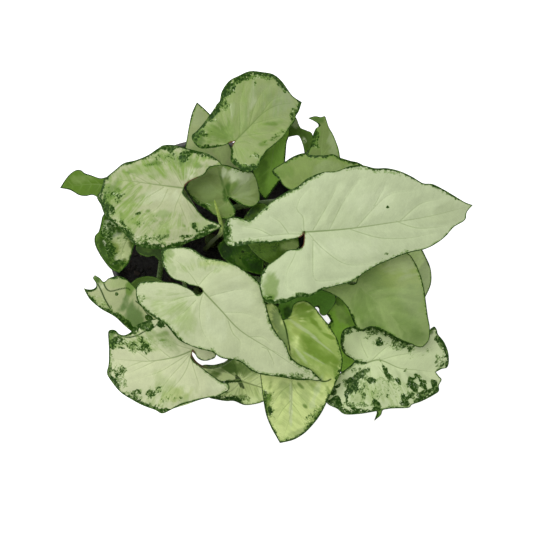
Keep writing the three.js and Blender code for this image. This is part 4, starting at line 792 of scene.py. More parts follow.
LEAVES["lower_left"] = dict(
    root=(-2, -57.5, 190), tip=(-44, -61.5, 168), arch=3, back=0.05, lean=0, fold=0.08, droop=0.1,
    stem="front", slot=285, neck=(6, -28, -16), bow=(52, -50, 184), tone=(192, 199, 158),
    midrib=[(-11, -61), (-23.5, -63), (-34.5, -62.5)],
    left=[(-2.8, -61), (-1.2, -63.4), (2.2, -66), (7.6, -70), (12, -73), (15.6, -74.2), (16, -77.4),
        (10.6, -80.4), (4.6, -81.4), (-1.4, -82.8), (-8.4, -84.8), (-13.4, -87.6), (-17.4, -89.2),
        (-21, -87.4), (-27, -85.2), (-33, -82), (-38.4, -78.4), (-43, -72.8), (-45, -69), (-44.2, -65)],
    right=[(-1, -59), (0.2, -61.4), (3, -62.8), (6.6, -62.4), (9.6, -60), (7.6, -51.4), (-0.4, -45),
        (-9.4, -41), (-18.4, -41.4), (-25.4, -43), (-30.4, -45.2), (-33, -48.4), (-36.4, -50),
        (-39.2, -49.2), (-41, -47.4), (-44.2, -48), (-44.2, -53.4), (-44, -57.4)],
    veins=[[(-3, -58.5), (-10.5, -63.5), (-18, -68), (-25, -70.5), (-33.5, -73)],
        [(-3, -59), (-7.5, -64.5), (-13, -70.5), (-17.5, -76), (-24.5, -81)],
        [(-3, -59.5), (-5, -66.5), (-9, -73), (-14, -78), (-20, -82.5)],
        [(-3, -61), (-1, -68.5), (1, -74.5), (1, -78)], [(-3, -57), (-10.5, -54.5), (-14.5, -50.5)],
        [(-13, -61.5), (-18.5, -57), (-22, -53)], [(-23.5, -63), (-29.5, -58.5), (-34.5, -56.5)],
        [(-27, -63), (-33.5, -65.5), (-37.5, -68)], [(-2.5, -61.5), (4, -68.5), (9.5, -73)],
        [(-20, -62.5), (-28.5, -66.5), (-35.5, -69.5)]],
    creases=[[(-33, -51), (-29.5, -50), (-26, -48), (-23, -47), (-19.5, -44.5)],
        [(-41.5, -51.5), (-39, -50.5), (-35.5, -51), (-33, -51)]],
    patches=[("green", -28.5, -51.5, 17, 7, -8, 0.5), ("green", -14.5, -81.5, 18, 6, 0, 0.5),
        ("moss", -18.5, -51.5, 13, 6, -20, 0.5), ("leaf", -31, -55, 11, 3.5, -8, 0.6),
        ("fern", -19.5, -50, 5.5, 1.5, 15, 0.5), ("fern", -17.5, -52.5, 3, 1, 0, 0.85),
        ("fringe", -28.5, -46, 6.5, 3, 30, 3), ("fleck", -23.5, -45.5, 6.5, 3, 10, 0.75),
        ("fleck", -18, -45, 3.5, 3, 0, 0.75), ("fleck", -39.5, -52.5, 4, 2.5, 0, 0.7),
        ("fleck", -33.5, -54.5, 9, 3.5, -20, 0.55), ("fleck", -25.5, -53, 8, 3, -15, 0.42),
        ("fleck", -27, -56.5, 5, 2.5, -30, 0.6), ("fleck", -18.5, -54, 7, 3.5, -20, 0.36),
        ("fleck", -37, -56.5, 3.5, 1, -10, 0.7), ("fleck", -31, -58, 6, 1.5, 0, 0.4),
        ("deep", -42, -49, 3, 2, 0, 0.95), ("fern", -42, -52.5, 3, 3.5, 0, 0.7),
        ("fleck", -42, -55, 2, 3, 0, 0.6), ("fringe", -42, -48, 3, 1.5, 0, 2),
        ("fleck", -43, -64, 1.5, 5.5, 0, 0.45), ("fringe", -42, -73, 3, 7, 25, 3.2),
        ("fleck", -39, -70.5, 4.5, 8, 25, 0.5), ("fringe", -28.5, -83.5, 12, 2.5, -27, 2),
        ("fleck", -31, -80, 7, 2.5, -25, 0.45), ("fleck", -30.5, -78.5, 4, 2, 0, 0.55),
        ("fleck", -23.5, -79.5, 4.5, 3, 30, 0.55), ("fleck", -19.5, -77.5, 3, 1.5, 40, 0.5),
        ("fleck", -12.5, -82.5, 7, 3, 0, 0.4), ("fringe", -16.5, -88, 3, 2, 0, 2.6),
        ("yellow", -9.5, -80.5, 7.5, 4, 20, 0.5), ("leaf", -16, -74.5, 5, 6.5, 30, 0.4),
        ("fleck", -8, -81, 1.5, 1.5, 0, 0.55), ("fleck", -37.5, -67.5, 3, 1.5, 0, 0.45),
        ("fringe", -20, -86, 4, 2.5, 0, 1.6), ("blush", -2.5, -58.5, 2, 3, 0, 1),
        ("cream", 9, -74.5, 6, 4, 0, 0.3)],
)
LEAVES["low_front"] = dict(
    root=(22, -73, 150), tip=(51.5, -82.5, 146), arch=3, back=0.05, lean=0, fold=0.08, droop=0.1,
    stem="front", slot=240, tone=(219, 231, 172),
    midrib=[(36.5, -77.5)],
    left=[(17.6, -73.2), (14, -73.4), (10.6, -73), (5.6, -70.2), (1.8, -66.4), (3.6, -64.8), (8.6, -64.8),
        (14, -63.4), (17.6, -62), (24, -59.4), (34, -60.4), (42.6, -65.4), (48.6, -73.4)],
    right=[(17.6, -73.2), (14, -73.4), (10, -75.4), (6, -78.2), (5.6, -81), (9.6, -82.2), (14.6, -83),
        (18.6, -83), (24, -85), (30.6, -84.2), (36.6, -82.4), (44.6, -84)],
    creases=[[(19.5, -70), (21.5, -72), (23.5, -76.5)], [(19.5, -71), (21, -73), (23, -76.5)],
        [(19.5, -71.5), (21, -74), (22, -76)], [(20, -71), (22, -73), (23, -75.5)],
        [(14, -73.5), (17.5, -73), (20, -72)]],
    # The fern and deep patches over the upper part are a painted shadow cast by the leaves above, and the
    # creases paint the shade in the slot at the root.
    patches=[("fern", 19.5, -65.5, 13, 5, 6, 0.9), ("deep", 12.5, -67.5, 11, 3.5, 6, 0.7),
        ("fern", 8.5, -70, 5, 3.5, 0, 0.8), ("leaf", 26, -68.5, 5, 3, 0, 0.5),
        ("fringe", 12.5, -74, 4.5, 1.5, 10, 0.3), ("leaf", 9.5, -78, 6, 2.5, 0, 0.5),
        ("green", 21.5, -80, 20, 6, 0, 0.5), ("fleck", 9, -80.5, 5, 2, 0, 0.6),
        ("fringe", 14, -81.5, 15, 2.5, 0, 1.8), ("fleck", 17.5, -82, 11, 2, 0, 0.5),
        ("fleck", 14.5, -78.5, 2, 1, 0, 0.5), ("yellow", 26.5, -76.5, 6, 5, 0, 0.3)],
)
LEAVES["front_centre"] = dict(
    root=(43, -42, 204), tip=(41.5, -104, 165), arch=5, back=0.05, lean=0, fold=0.12, droop=0.12,
    stem="front", slot=8, tone=(206, 222, 145),
    midrib=[(45, -49), (46.5, -57.5), (47.5, -72.5), (47, -87.5), (44.5, -97.5)],
    left=[(45, -41.5), (47, -39), (48, -35), (51, -33), (55, -33), (58.5, -35.5), (62, -40), (65.5, -44.5),
        (69.5, -50.5), (71.5, -56), (73, -63), (71.5, -69.5), (68.5, -76), (65.5, -82.5), (62.5, -88.5),
        (59.5, -93), (55.5, -97.5), (52.5, -100), (48, -102.5)],
    right=[(42, -38.5), (40.5, -35.5), (36.5, -33.5), (32.5, -35.5), (30.5, -41.5), (28.5, -50),
        (28.5, -58.5), (31, -66.5), (32, -73), (33, -81), (34.5, -89.5), (37, -96), (39.5, -100.5)],
    veins=[[(47, -72.5), (50, -78.5), (54.5, -83.5), (57.5, -88.5)],
        [(47, -82.5), (42, -88.5), (39, -94.5)], [(47, -83.5), (51.5, -89.5), (53, -94.5)],
        [(46.5, -75), (42, -78.5), (38, -84.5)]],
    creases=[[(58.5, -69), (60, -71.5), (62.5, -73), (65, -73), (67, -72)],
        [(43, -42.5), (44.5, -46.5), (45.5, -52.5), (46.5, -57.5)]],
    # The moss strip at (41, -45) is a painted shadow cast by centre_left and big_right, and the dark spot at
    # (44.5, -38) is painted shade in the sinus.
    patches=[("green", 51.5, -82.5, 20, 25, 0, 0.35), ("lime", 58, -51.5, 28, 20, -52, 0.9),
        ("olive", 53, -39, 6.5, 6.5, -30, 0.85), ("olive", 60.5, -58.5, 12, 3, -35, 0.8),
        ("olive", 53, -51, 7.5, 2, -40, 0.7), ("olive", 64, -61.5, 7, 1.5, -20, 0.5),
        ("yellow", 65, -45.5, 15, 2, -56, 0.45), ("olive", 57.5, -55, 13, 5, -40, 0.45),
        ("yellow", 49.5, -47.5, 4, 10, 10, 0.5), ("olive", 58.5, -43.5, 5, 1.5, -45, 0.95),
        ("olive", 66, -50.5, 4, 1, -25, 0.85), ("olive", 60.5, -37.5, 2.5, 1, -50, 0.8),
        ("olive", 55.5, -36, 5, 2.5, -20, 0.7), ("cream", 52.5, -46.5, 7, 1, -35, 0.35),
        ("cream", 62.5, -54.5, 6.5, 0.5, -38, 0.3), ("cream", 51, -59, 7, 1, -52, 0.4),
        ("cream", 57.5, -61, 7, 0.5, -30, 0.3), ("moss", 41, -45, 12.5, 3, -70, 0.95),
        ("dark", 44.5, -38, 3, 3.5, 0, 0.95), ("olive", 70, -70, 1.5, 8, 10, 0.6),
        ("fringe", 70, -71.5, 2, 11, 10, 0.7), ("fringe", 65.5, -81, 2, 7, 30, 0.8),
        ("olive", 67, -79.5, 1.5, 8, 28, 0.7), ("yellow", 67, -74.5, 2.5, 6, 25, 0.5),
        ("olive", 59.5, -93, 12, 2, 50, 0.8), ("fleck", 58, -91.5, 11, 3.5, 50, 0.4),
        ("fringe", 59, -92.5, 10, 2.5, 48, 0.8), ("fringe", 50, -101.5, 6, 2, 15, 0.6),
        ("leaf", 51.5, -98.5, 7, 2, 20, 0.6), ("olive", 35.5, -83.5, 1.5, 10, -10, 0.8),
        ("fleck", 34.5, -80, 2, 3.5, 0, 0.7), ("fleck", 36.5, -88, 2, 3.5, 0, 0.7),
        ("fringe", 35, -85, 2, 12, -10, 1), ("fringe", 39.5, -98.5, 2, 5, -20, 0.8),
        ("fleck", 37.5, -85, 2.5, 9, 0, 0.4), ("fern", 52, -75.5, 3, 1, -45, 0.9),
        ("fern", 54, -85.5, 2, 1, -40, 0.95), ("fern", 47.5, -75.5, 3.5, 2, 0, 0.35),
        ("cream", 47, -85, 1, 14, 0, 0.5), ("cream", 59.5, -79, 1.5, 9, -20, 0.35),
        ("leaf", 43.5, -78.5, 3, 7, 0, 0.5), ("leaf", 54, -80.5, 3.5, 6, -20, 0.5)],
)
LEAVES["right_plain"] = dict(
    root=(79.5, -24, 204), tip=(113, -56, 184), arch=3, back=0.05, lean=0, fold=0.1, droop=0.1,
    stem="right", slot=325, tone=(138, 160, 96),
    midrib=[(89, -32.5), (98, -41.5), (105.5, -49.5)],
    left=[(80.5, -21), (83.5, -15.5), (90.5, -9.5), (99, -7), (105.5, -9), (109, -13.5), (111.5, -19),
        (113.5, -26), (114.5, -33), (115.5, -40.5), (116.5, -46.5), (116, -52.5)],
    right=[(77, -24.5), (72, -22.5), (65.5, -23), (62, -27), (66.5, -29), (71.5, -32), (75, -36),
        (77, -40.5), (79, -45), (82, -47.5), (86.5, -46), (91.5, -47), (97, -50), (102, -52.5),
        (107, -54.5), (110.5, -56)],
    veins=[[(86, -28.5), (93, -27), (102, -26.5), (107.5, -27.5)],
        [(90.5, -32.5), (96.5, -31), (103.5, -32), (111.5, -34)],
        [(95.5, -39), (100.5, -38.5), (107.5, -40.5)], [(79.5, -28.5), (78.5, -32.5), (79.5, -38.5)],
        [(84.5, -31), (85.5, -36.5), (89.5, -43.5)], [(91.5, -36.5), (93.5, -43.5), (97, -49.5)],
        [(80, -27), (91, -33), (96, -39.5), (100, -45.5), (102, -51)]],
    # The yellow and cream patches at the top are partly the leaf's own paler top and partly painted light,
    # which lifts the shade big_right casts over it.
    patches=[("yellow", 103, -16.5, 14, 10, -15, 0.3), ("cream", 100.5, -13.5, 11, 6, -15, 0.25),
        ("sage", 107.5, -30.5, 7, 14, 0, 0.3), ("fern", 88.5, -21, 9, 5.5, -30, 0.3),
        ("fern", 82, -35, 6, 10, -25, 0.45), ("fern", 88.5, -43.5, 12, 4.5, -35, 0.4),
        ("deep", 93.5, -49.5, 10, 3, -30, 0.3), ("fern", 103.5, -40.5, 11, 5.5, -50, 0.3),
        ("deep", 109.5, -52.5, 7, 4.5, 0, 0.3), ("fern", 106.5, -47.5, 8, 5, -40, 0.25),
        ("fringe", 77.5, -41.5, 2, 6, 30, 1)],
)
LEAVES["lower_right"] = dict(
    root=(84.5, -64, 178), tip=(119.5, -68.5, 170), arch=3, back=0.05, lean=0, fold=0.08, droop=0.1,
    stem="right", slot=238, neck=(6, -4, -45), tone=(192, 205, 158),
    midrib=[(91.5, -62.5), (101.5, -66.5), (110.5, -67.5)],
    left=[(81.6, -63.6), (78.8, -63.2), (77.6, -62), (74.6, -60.2), (72, -56.4), (72, -50.4), (74, -46.8),
        (79.6, -45.2), (83, -46.8), (87, -45.4), (92, -46.8), (97.6, -49.4), (102.6, -52.2), (107.6, -53.4),
        (111.6, -53), (115, -50), (116.6, -47), (118.6, -45.6), (120, -47.4), (120.6, -49.6),
        (123.6, -53.4), (125.6, -58.4), (126, -63.4), (125, -66.4), (122.6, -66.8), (120.8, -67.2)],
    right=[(81.6, -63.6), (78.8, -63.2), (77.2, -64.8), (74.4, -67), (71.6, -69.2), (68.6, -72),
        (64.6, -78.4), (65, -84), (70, -86.8), (74, -89.6), (81.6, -89.4), (89, -88.2), (96.6, -86.8),
        (105.6, -86.4), (107.6, -84.8), (112.6, -83), (118, -80.2), (121, -78), (121, -75.2),
        (122.4, -72.2), (120.8, -70.4)],
    veins=[[(91.5, -62.5), (100.5, -60), (110.5, -58.5), (119.5, -55)],
        [(87.5, -62.5), (95.5, -55.5), (102.5, -54)], [(85.5, -61.5), (82.5, -55), (81.5, -49.5)],
        [(84.5, -65.5), (80, -70.5), (76, -76.5)], [(86.5, -65.5), (86.5, -74.5), (84.5, -82.5)],
        [(90.5, -65.5), (97.5, -74.5), (100.5, -81.5)]],
    creases=[[(84.5, -64), (81.5, -63.5), (79, -63)]],
    patches=[("leaf", 82.5, -81, 8, 4, 0, 0.5), ("leaf", 87.5, -75, 6, 5, 0, 0.2),
        ("fleck", 87.5, -77.5, 17, 8, 0, 0.33), ("fleck", 99, -55, 17, 2.5, -14, 0.36),
        ("fleck", 114, -58.5, 8, 2, 20, 0.3), ("green", 94, -78.5, 22, 8, 0, 0.5),
        ("sage", 109, -71.5, 10, 3, -15, 0.4), ("fleck", 78.5, -74, 9, 3, 53, 1.1),
        ("fleck", 78.5, -74.5, 12, 5.5, 53, 0.5), ("fleck", 74.5, -80, 2, 4, 0, 0.85),
        ("fleck", 95, -69.5, 4, 1.5, -60, 0.75), ("fleck", 93, -65.5, 4, 1, -70, 0.6),
        ("fleck", 97.5, -71.5, 3, 1.5, -60, 0.6), ("fleck", 100.5, -72.5, 2.5, 1, -55, 0.85),
        ("fleck", 87.5, -72.5, 2.5, 2, 0, 0.75), ("fleck", 91.5, -53, 2, 3, 0, 0.7),
        ("fleck", 107.5, -74, 7, 3, -62, 0.8), ("fleck", 112.5, -74, 7, 2.5, -50, 0.7),
        ("fleck", 106, -80.5, 5, 4, 0, 0.6), ("fleck", 104.5, -84.5, 3.5, 2, 0, 1.4),
        ("fleck", 114.5, -79, 7.5, 2.5, 22, 1), ("fleck", 118.5, -74.5, 2, 3, 0, 0.8),
        ("fringe", 116.5, -80.5, 9, 3, 22, 2), ("fleck", 69, -83.5, 5, 3.5, 0, 1.15),
        ("fleck", 68, -78.5, 3.5, 2, 20, 1), ("fleck", 70.5, -75.5, 2.5, 1, 40, 0.85),
        ("fringe", 80, -88.5, 12, 3, 0, 2.6), ("fleck", 81.5, -85, 13, 2, 0, 0.5),
        ("fleck", 90, -84.5, 3, 2, -50, 0.75), ("fleck", 84, -80.5, 1.5, 2, 0, 0.6),
        ("fleck", 95, -80.5, 1, 2.5, 0, 0.6), ("fleck", 103.5, -80.5, 1, 2.5, 0, 0.8),
        ("fringe", 86.5, -46.5, 9, 2, 0, 2.4), ("fringe", 99, -51, 12, 2.5, -22, 2),
        ("fleck", 75, -48, 4, 2.5, 0, 0.6), ("fleck", 73, -54.5, 1.5, 6, 0, 0.4),
        ("fleck", 102.5, -55, 7, 2, -15, 0.55), ("fringe", 72, -55, 2, 8, 0, 1.8),
        ("fleck", 89, -48.5, 11, 2, -5, 0.45), ("fringe", 124, -56.5, 2.5, 10, 15, 1.6),
        ("fleck", 121, -53.5, 2, 4.5, 30, 0.6), ("fleck", 121, -63, 3, 3, 0, 0.5),
        ("deep", 116.5, -48, 1.5, 2, 30, 0.8), ("fringe", 118.5, -46, 2.5, 1.5, 0, 1.6)],
)
LEAVES["right_behind"] = dict(
    root=(74, -11.5, 186), tip=(114, -31.5, 172), arch=2, back=0.05, lean=0, fold=0.08, droop=0.1,
    stem="right", slot=5, tone=(202, 222, 156),
    midrib=[(94, -18.5)],
    left=[(77.5, -2.5), (89, 1.5), (101.5, 0), (110.5, -4.5), (115, -12), (117, -17.5), (117, -24.5)],
    right=[(75.5, -20.5), (82.5, -27.5), (94, -32.5), (105.5, -34.5)],
    patches=[("sage", 114.5, -20, 4, 13, 0, 0.6), ("fringe", 117, -13.5, 2, 5, 0, 0.6)],
)
LEAVES["small_front"] = dict(
    root=(68.5, -31, 170), tip=(74, -72, 154), arch=2, back=0.05, lean=0, fold=0.1, droop=0.1,
    stem="right", slot=288, tone=(141, 182, 75),
    midrib=[(73.5, -52.5)],
    left=[(75.6, -29.4), (81.6, -35.4), (83.6, -43.4), (83.6, -51), (81.6, -56.4), (79.8, -62),
        (77.2, -67.4)],
    right=[(65, -30.2), (62.4, -32), (62, -34.8), (62.8, -37.2), (64.6, -39.4), (66, -41.2), (66.8, -43.2),
        (65.2, -45), (67, -48.4), (69, -52.4), (70.6, -59), (71.6, -67.4)],
    patches=[("leaf", 72, -39, 3, 7, 30, 0.6), ("fern", 76, -38.5, 4, 8, 0, 0.4),
        ("deep", 70.5, -32.5, 6, 3, 0, 0.7), ("deep", 77.5, -43.5, 3, 3, 0, 0.4),
        ("fern", 75.5, -62.5, 4, 6, 0, 0.3), ("fringe", 67, -43.5, 2, 5, 0, 1)],
)
LEAVES["dark_left"] = dict(
    root=(-3.5, -35, 158), tip=(-34.5, -26.5, 150), arch=2, back=0.05, lean=0, fold=0.08, droop=0.1,
    stem="left", slot=300, tone=(67, 92, 33),
    midrib=[(-18.5, -31)],
    left=[(-6.5, -42.5), (-16, -44), (-25.5, -38.5), (-31.5, -32)],
    right=[(-6.5, -30.5), (-14.5, -24.5), (-20.5, -21), (-25.5, -20.5), (-30, -21.5), (-33, -24)],
    veins=[[(-18.5, -31), (-23.5, -27.5)]],
)
LEAVES["left_shaded"] = dict(
    root=(-5.5, 2.5, 186), tip=(-28, -10, 178), arch=2, back=0.05, lean=0, fold=0.08, droop=0.1,
    stem="left", slot=30, tone=(57, 79, 36),
    midrib=[(-16, -3.5)],
    left=[(-7.5, -5.5), (-14.5, -11.5), (-18.5, -13), (-21.5, -10.5), (-24.5, -11)],
    right=[(-9.5, 8.5), (-19.5, 6.5), (-27, -0.5), (-30.5, -5.5), (-30, -8.5)],
    veins=[[(-16, -3.5), (-20.5, -7.5)]],
    patches=[("fern", -23.5, -4.5, 5, 4, 0, 0.4)],
)
LEAVES["centre_dark"] = dict(
    root=(14, -1.5, 172), tip=(32.5, -20, 168), arch=2, back=0.05, lean=0, fold=0.08, droop=0.1,
    stem="middle", slot=320, tone=(44, 80, 13),
    midrib=[(23, -10)],
    left=[(19.5, -0.5), (26.5, -2.5), (32, -7.5), (33.5, -13.5)],
    right=[(10.5, -5.5), (12.5, -11), (18.5, -15.5), (25.5, -18.5)],
    veins=[[(21.5, -8.5), (24.5, -5.5)], [(23, -10), (21.5, -14.5)]],
    patches=[("dark", 29.5, -15.5, 4, 4, 0, 0.9), ("dark", 15.5, -7.5, 3.5, 4, 0, 0.8),
        ("fern", 32.5, -6.5, 5, 4.5, -40, 0.6), ("deep", 24, -7.5, 7, 4, 0, 0.6),
        ("fern", 21.5, -13.5, 6, 1.5, -50, 0.5), ("dark", 19.5, -2.5, 7, 1.5, 0, 0.6),
        ("fleck", 24, -10, 10, 5, 0, 0.4)],
)
LEAVES["centre_right"] = dict(
    root=(24.5, 10.5, 188), tip=(51.5, -5.5, 186), arch=2, back=0.05, lean=0, fold=0.08, droop=0.1,
    stem="right", slot=150, tone=(69, 96, 28),
    midrib=[(37.5, 2)],
    left=[(29.5, 16), (37.5, 14.5), (44.5, 9.5), (49.5, 2.5)],
    right=[(21.5, 3.5), (25.5, -5.5), (32.5, -12.5), (40, -14.5), (46.5, -10.5)],
    veins=[[(32.5, 4.5), (39, 6.5)], [(35.5, 2.5), (37.5, -5.5)]],
    # The dark patch at the root, (24, 11.5), is painted shade in the deep gap between shaded_heart and
    # big_right.
    patches=[("leaf", 47, -5, 6, 3, 20, 0.8), ("fern", 36.5, -8.5, 6, 3, 30, 0.6),
        ("dark", 24, 11.5, 7, 3, 0, 1), ("dark", 39, -6.5, 2, 2, 0, 0.7),
        ("fern", 30.5, -1.5, 6, 2, 40, 0.5), ("fleck", 35.5, -5.5, 10, 4.5, 20, 0.4)],
)
LEAVES["front_tip"] = dict(
    root=(94, -72.5, 152), tip=(88.5, -93, 140), arch=2, back=0.05, lean=0, fold=0.08, droop=0.1,
    stem="front", slot=327, tone=(91, 150, 22),
    midrib=[(92.5, -81.5)],
    left=[(99, -75), (100, -81), (96.5, -86), (93, -87.5), (92, -90)],
    right=[(89, -73.5), (86, -78.5), (86.5, -84), (89.5, -87.5), (90.5, -89.5)],
    patches=[("leaf", 91.5, -84.5, 4, 6, 0, 0.5)],
)
LEAVES["front_shaded"] = dict(
    root=(52.5, -24.5, 184), tip=(66, -38.5, 178), arch=2, back=0.05, lean=0, fold=0.08, droop=0.1,
    stem="front", slot=60, tone=(89, 130, 50),
    midrib=[(59.5, -31.5)],
    left=[(57.6, -22), (63.6, -23.4), (68, -27.4), (69.6, -33)],
    right=[(49, -26.4), (43.6, -30.4), (40.6, -35.4), (41.6, -41.4), (47, -43.4), (53, -40.8), (57, -38.2),
        (58.8, -36.2), (60.4, -35.4), (61.2, -36.4), (61, -38.2), (62.6, -40.2), (64.6, -40)],
    # The dark patch at (45, -38) is painted shade where the sinus of front_centre opens over this leaf.
    patches=[("fern", 46.5, -32.5, 7, 6, 0, 0.2), ("dark", 45, -38, 3, 3.5, 0, 0.8)],
)
LEAVES["top_edge"] = dict(
    root=(56, 42.5, 190), tip=(43, 53.5, 186), arch=2, back=0.05, lean=0, fold=0.08, droop=0.1,
    stem="back", slot=5, neck=(2, -12, -20), tone=(65, 91, 28),
    midrib=[(55, 47), (52.5, 51), (48, 52.5)],
    left=[(54, 41), (53, 45), (51, 49.5), (48, 49.5), (45, 49), (42.5, 50.5)],
    right=[(57.5, 44), (58, 47.5), (57.5, 51), (54.5, 52.5), (51.5, 54), (50, 58), (47.5, 60.5),
        (44.5, 58)],
    patches=[("sage", 49.5, 55.5, 2, 3, 0, 0.8), ("cream", 53.5, 47.5, 2, 2, 0, 0.6),
        ("fleck", 53.5, 47, 3, 2.5, 0, 0.5)],
)


def smooth_line(points, count):
    """A Catmull-Rom curve through the points, at count + 1 places an equal length apart. Each span is the
    cubic whose slope at a point is half the step between that point's two neighbours."""
    p = np.array(points, float)
    p = np.vstack([p[:1], p, p[-1:]])
    t = np.linspace(0, 1, CURVE_STEPS, endpoint=False)[None, :, None]
    a, b, c, d = p[:-3, None], p[1:-2, None], p[2:-1, None], p[3:, None]
    line = b + t * (c - a) / 2 + t**2 * (a - 2.5 * b + 2 * c - d / 2) + t**3 * (1.5 * (b - c) + (d - a) / 2)
    line = np.vstack([line.reshape(-1, p.shape[1]), p[-1:]])
    length = np.concatenate([[0], np.cumsum(np.linalg.norm(np.diff(line, axis=0), axis=1))])
    places = np.linspace(0, length[-1], count + 1)
    return np.stack([np.interp(places, length, line[:, k]) for k in range(p.shape[1])], -1)


def line_distance(points, line):
    """Distance of each plan point from a line of straight steps, how far along the line its nearest
    place is, and on which side it lies: 1 to the left, -1 to the right."""
    start, step = line[:-1], np.diff(line, axis=0)
    long = np.maximum((step**2).sum(1), 1e-9)
    before = np.concatenate([[0], np.cumsum(np.sqrt(long))])[:-1]
    nearest, along, side = np.empty(len(points)), np.empty(len(points)), np.empty(len(points))
    batches = max(1, len(points) * len(step) // PAIRS_AT_ONCE)
    for part in np.array_split(np.arange(len(points)), batches):
        gap = points[part, None] - start
        on = np.clip((gap * step).sum(2) / long, 0, 1)
        off = gap - on[..., None] * step
        away = (off**2).sum(2)
        best = away.argmin(1)
        row = np.arange(len(part))
        nearest[part] = np.sqrt(away[row, best])
        along[part] = before[best] + on[row, best] * np.sqrt(long[best])
        cross = step[best, 0] * gap[row, best, 1] - step[best, 1] * gap[row, best, 0]
        side[part] = np.where(cross >= 0, 1, -1)
    return nearest, along, side


def own_axes(leaf, points):
    """Plan points as distance from the root towards the tip, and distance to the left of that line."""
    root, tip = np.array(leaf["root"][:2]), np.array(leaf["tip"][:2])
    ahead = (tip - root) / np.linalg.norm(tip - root)
    gap = points - root
    return gap @ ahead, gap @ np.array([-ahead[1], ahead[0]])


def leaf_length(leaf):
    """The distance in plan from the root to the tip."""
    return float(np.hypot(leaf["tip"][0] - leaf["root"][0], leaf["tip"][1] - leaf["root"][1]))


def midrib_line(leaf):
    """The midrib in plan, from the root to the tip."""
    return smooth_line([leaf["root"][:2], *leaf["midrib"], leaf["tip"][:2]], MIDRIB_STEPS)


def blade_height(leaf, points):
    """The blade's height over plan points. Lengthwise it runs straight from root to tip plus an arch, and
    behind the root it rises or sinks by back for each mm. Crosswise it leans, folds up from the midrib
    like a shallow V with a rounded bottom, and droops by the square of the distance from the midrib."""
    along, across = own_axes(leaf, points)
    rib_along, rib_across = own_axes(leaf, midrib_line(leaf))
    order = np.argsort(rib_along)
    side = across - np.where(along > 0, np.interp(along, rib_along[order], rib_across[order]), 0)
    q = along / leaf_length(leaf)
    ramp = (leaf["tip"][2] - leaf["root"][2]) * q + 4 * leaf["arch"] * q * (1 - q)
    long = np.where(along > 0, ramp, leaf["back"] * along)
    folded = leaf["fold"] * (np.hypot(side, FOLD_ROUNDING) - FOLD_ROUNDING)
    cross = leaf["lean"] * side + folded - leaf["droop"] * side**2 / leaf_length(leaf)
    return leaf["root"][2] + long + cross


def at_height(points, height):
    """Plan points carried along the lines of sight until they stand at the given heights."""
    scale = (MEETING_POINT[2] - height) / (MEETING_POINT[2] - PLAN_HEIGHT)
    level = MEETING_POINT[:2] + (points - MEETING_POINT[:2]) * scale[:, None]
    return np.hstack([level, height[:, None]])


# ---- Stalks ----
# Each leaf stands on its own juicy green stalk, which rises from a sheath beside its stem and bends
# out under the blade. The upper side is channelled, and some necks are flushed reddish brown.

STEM_REACH = 6.6
STALK_FOOT = 93.6
STALK_RADII = (2.1, 1.15)
STALK_SIDES = 16
STALK_STEPS = 56
SHEATH_SHARE = 0.3
SEAT_INSET = 1.6
SEAT_RADIUS = 1.4
SEAT_DEPTH = 0.35
SEAT_GAP = 0.1
NECK_BULGE = 0.16
SHEATH_BULGE = 0.1
CHANNEL_DEPTH = 0.2
USUAL_BOW = (0.08, 0.08, 0.5)
USUAL_NECK = (-0.2, -0.2, -0.3)
SLIM_NECKS = {"lower_left": 0.5}  # the neck's radius where it isn't the usual one

# How strongly a neck is flushed, and from which part of the stalk on.
USUAL_FLUSH = (0.12, 0.6)
RED_NECKS = {
    "big_right": (1.0, 0.965), "upper_left": (0.8, 0.9), "lower_left": (1.0, 0.75), "top_heart": (0.6, 0.9),
    "front_shaded": (0.7, 0.9),
}


def stalk_path(leaf):
    """A cubic Bezier curve from the foot beside the stem to just under the blade, a little ahead of its
    root. The first handle bows the stalk upwards and the second bends it in to the blade. The usual
    handles are shares of the way from foot to blade, given for east, north and up."""
    root, tip = np.array(leaf["root"]), np.array(leaf["tip"])
    seat = root[:2] + SEAT_INSET * (tip - root)[:2] / leaf_length(leaf)
    turn = np.linspace(0, 2 * np.pi, 8, endpoint=False)
    ring = seat + SEAT_RADIUS * np.stack([np.cos(turn), np.sin(turn)], -1)
    underside = blade_height(leaf, ring).min() - SEAT_DEPTH
    slot = np.radians(leaf["slot"])
    aside = STEM_REACH * np.array([np.cos(slot), np.sin(slot), 0])
    foot = np.array([*STEMS[leaf["stem"]], STALK_FOOT]) + aside
    reach = at_height(seat[None], np.array([underside]))[0] - foot
    neck = np.array(leaf.get("neck", reach * USUAL_NECK))
    tilt = np.hypot(*neck[:2]) / np.linalg.norm(neck)
    end = at_height(seat[None], np.array([underside - SEAT_GAP - STALK_RADII[1] * tilt]))[0]
    low = np.array(leaf.get("bow", foot + reach * USUAL_BOW))
    t = np.linspace(0, 1, STALK_STEPS + 1)[:, None]
    return foot * (1 - t) ** 3 + 3 * low * t * (1 - t) ** 2 + 3 * (end + neck) * t**2 * (1 - t) + end * t**3


def fade(value, low, high):
    """0 up to low, 1 from high on, and a smooth step in between."""
    t = np.clip((value - low) / (high - low), 0, 1)
    return t * t * (3 - 2 * t)


def bar_values(values, sides):
    """A value for each point of a bar from one for each ring. The end points take their ring's value."""
    return np.concatenate([np.repeat(values, sides), values[[0, -1]]])


stalk_green, tree, shader = new_material("stalk_green")
place = add_node(tree, "TexCoord").outputs["Object"]
flush = stored(tree, "flush")
along = stored(tree, "along")
stretched = scaled_place(tree, place, (1, 1, 0.14))
streak = noise(tree, stretched, 1100, 4, 0.6)
blotch = noise(tree, place, 160, 4, 0.6)
colour = mix_colour(tree, ease(tree, streak, 0.32, 0.7), (0.04, 0.08, 0.015, 1), (0.11, 0.17, 0.05, 1))
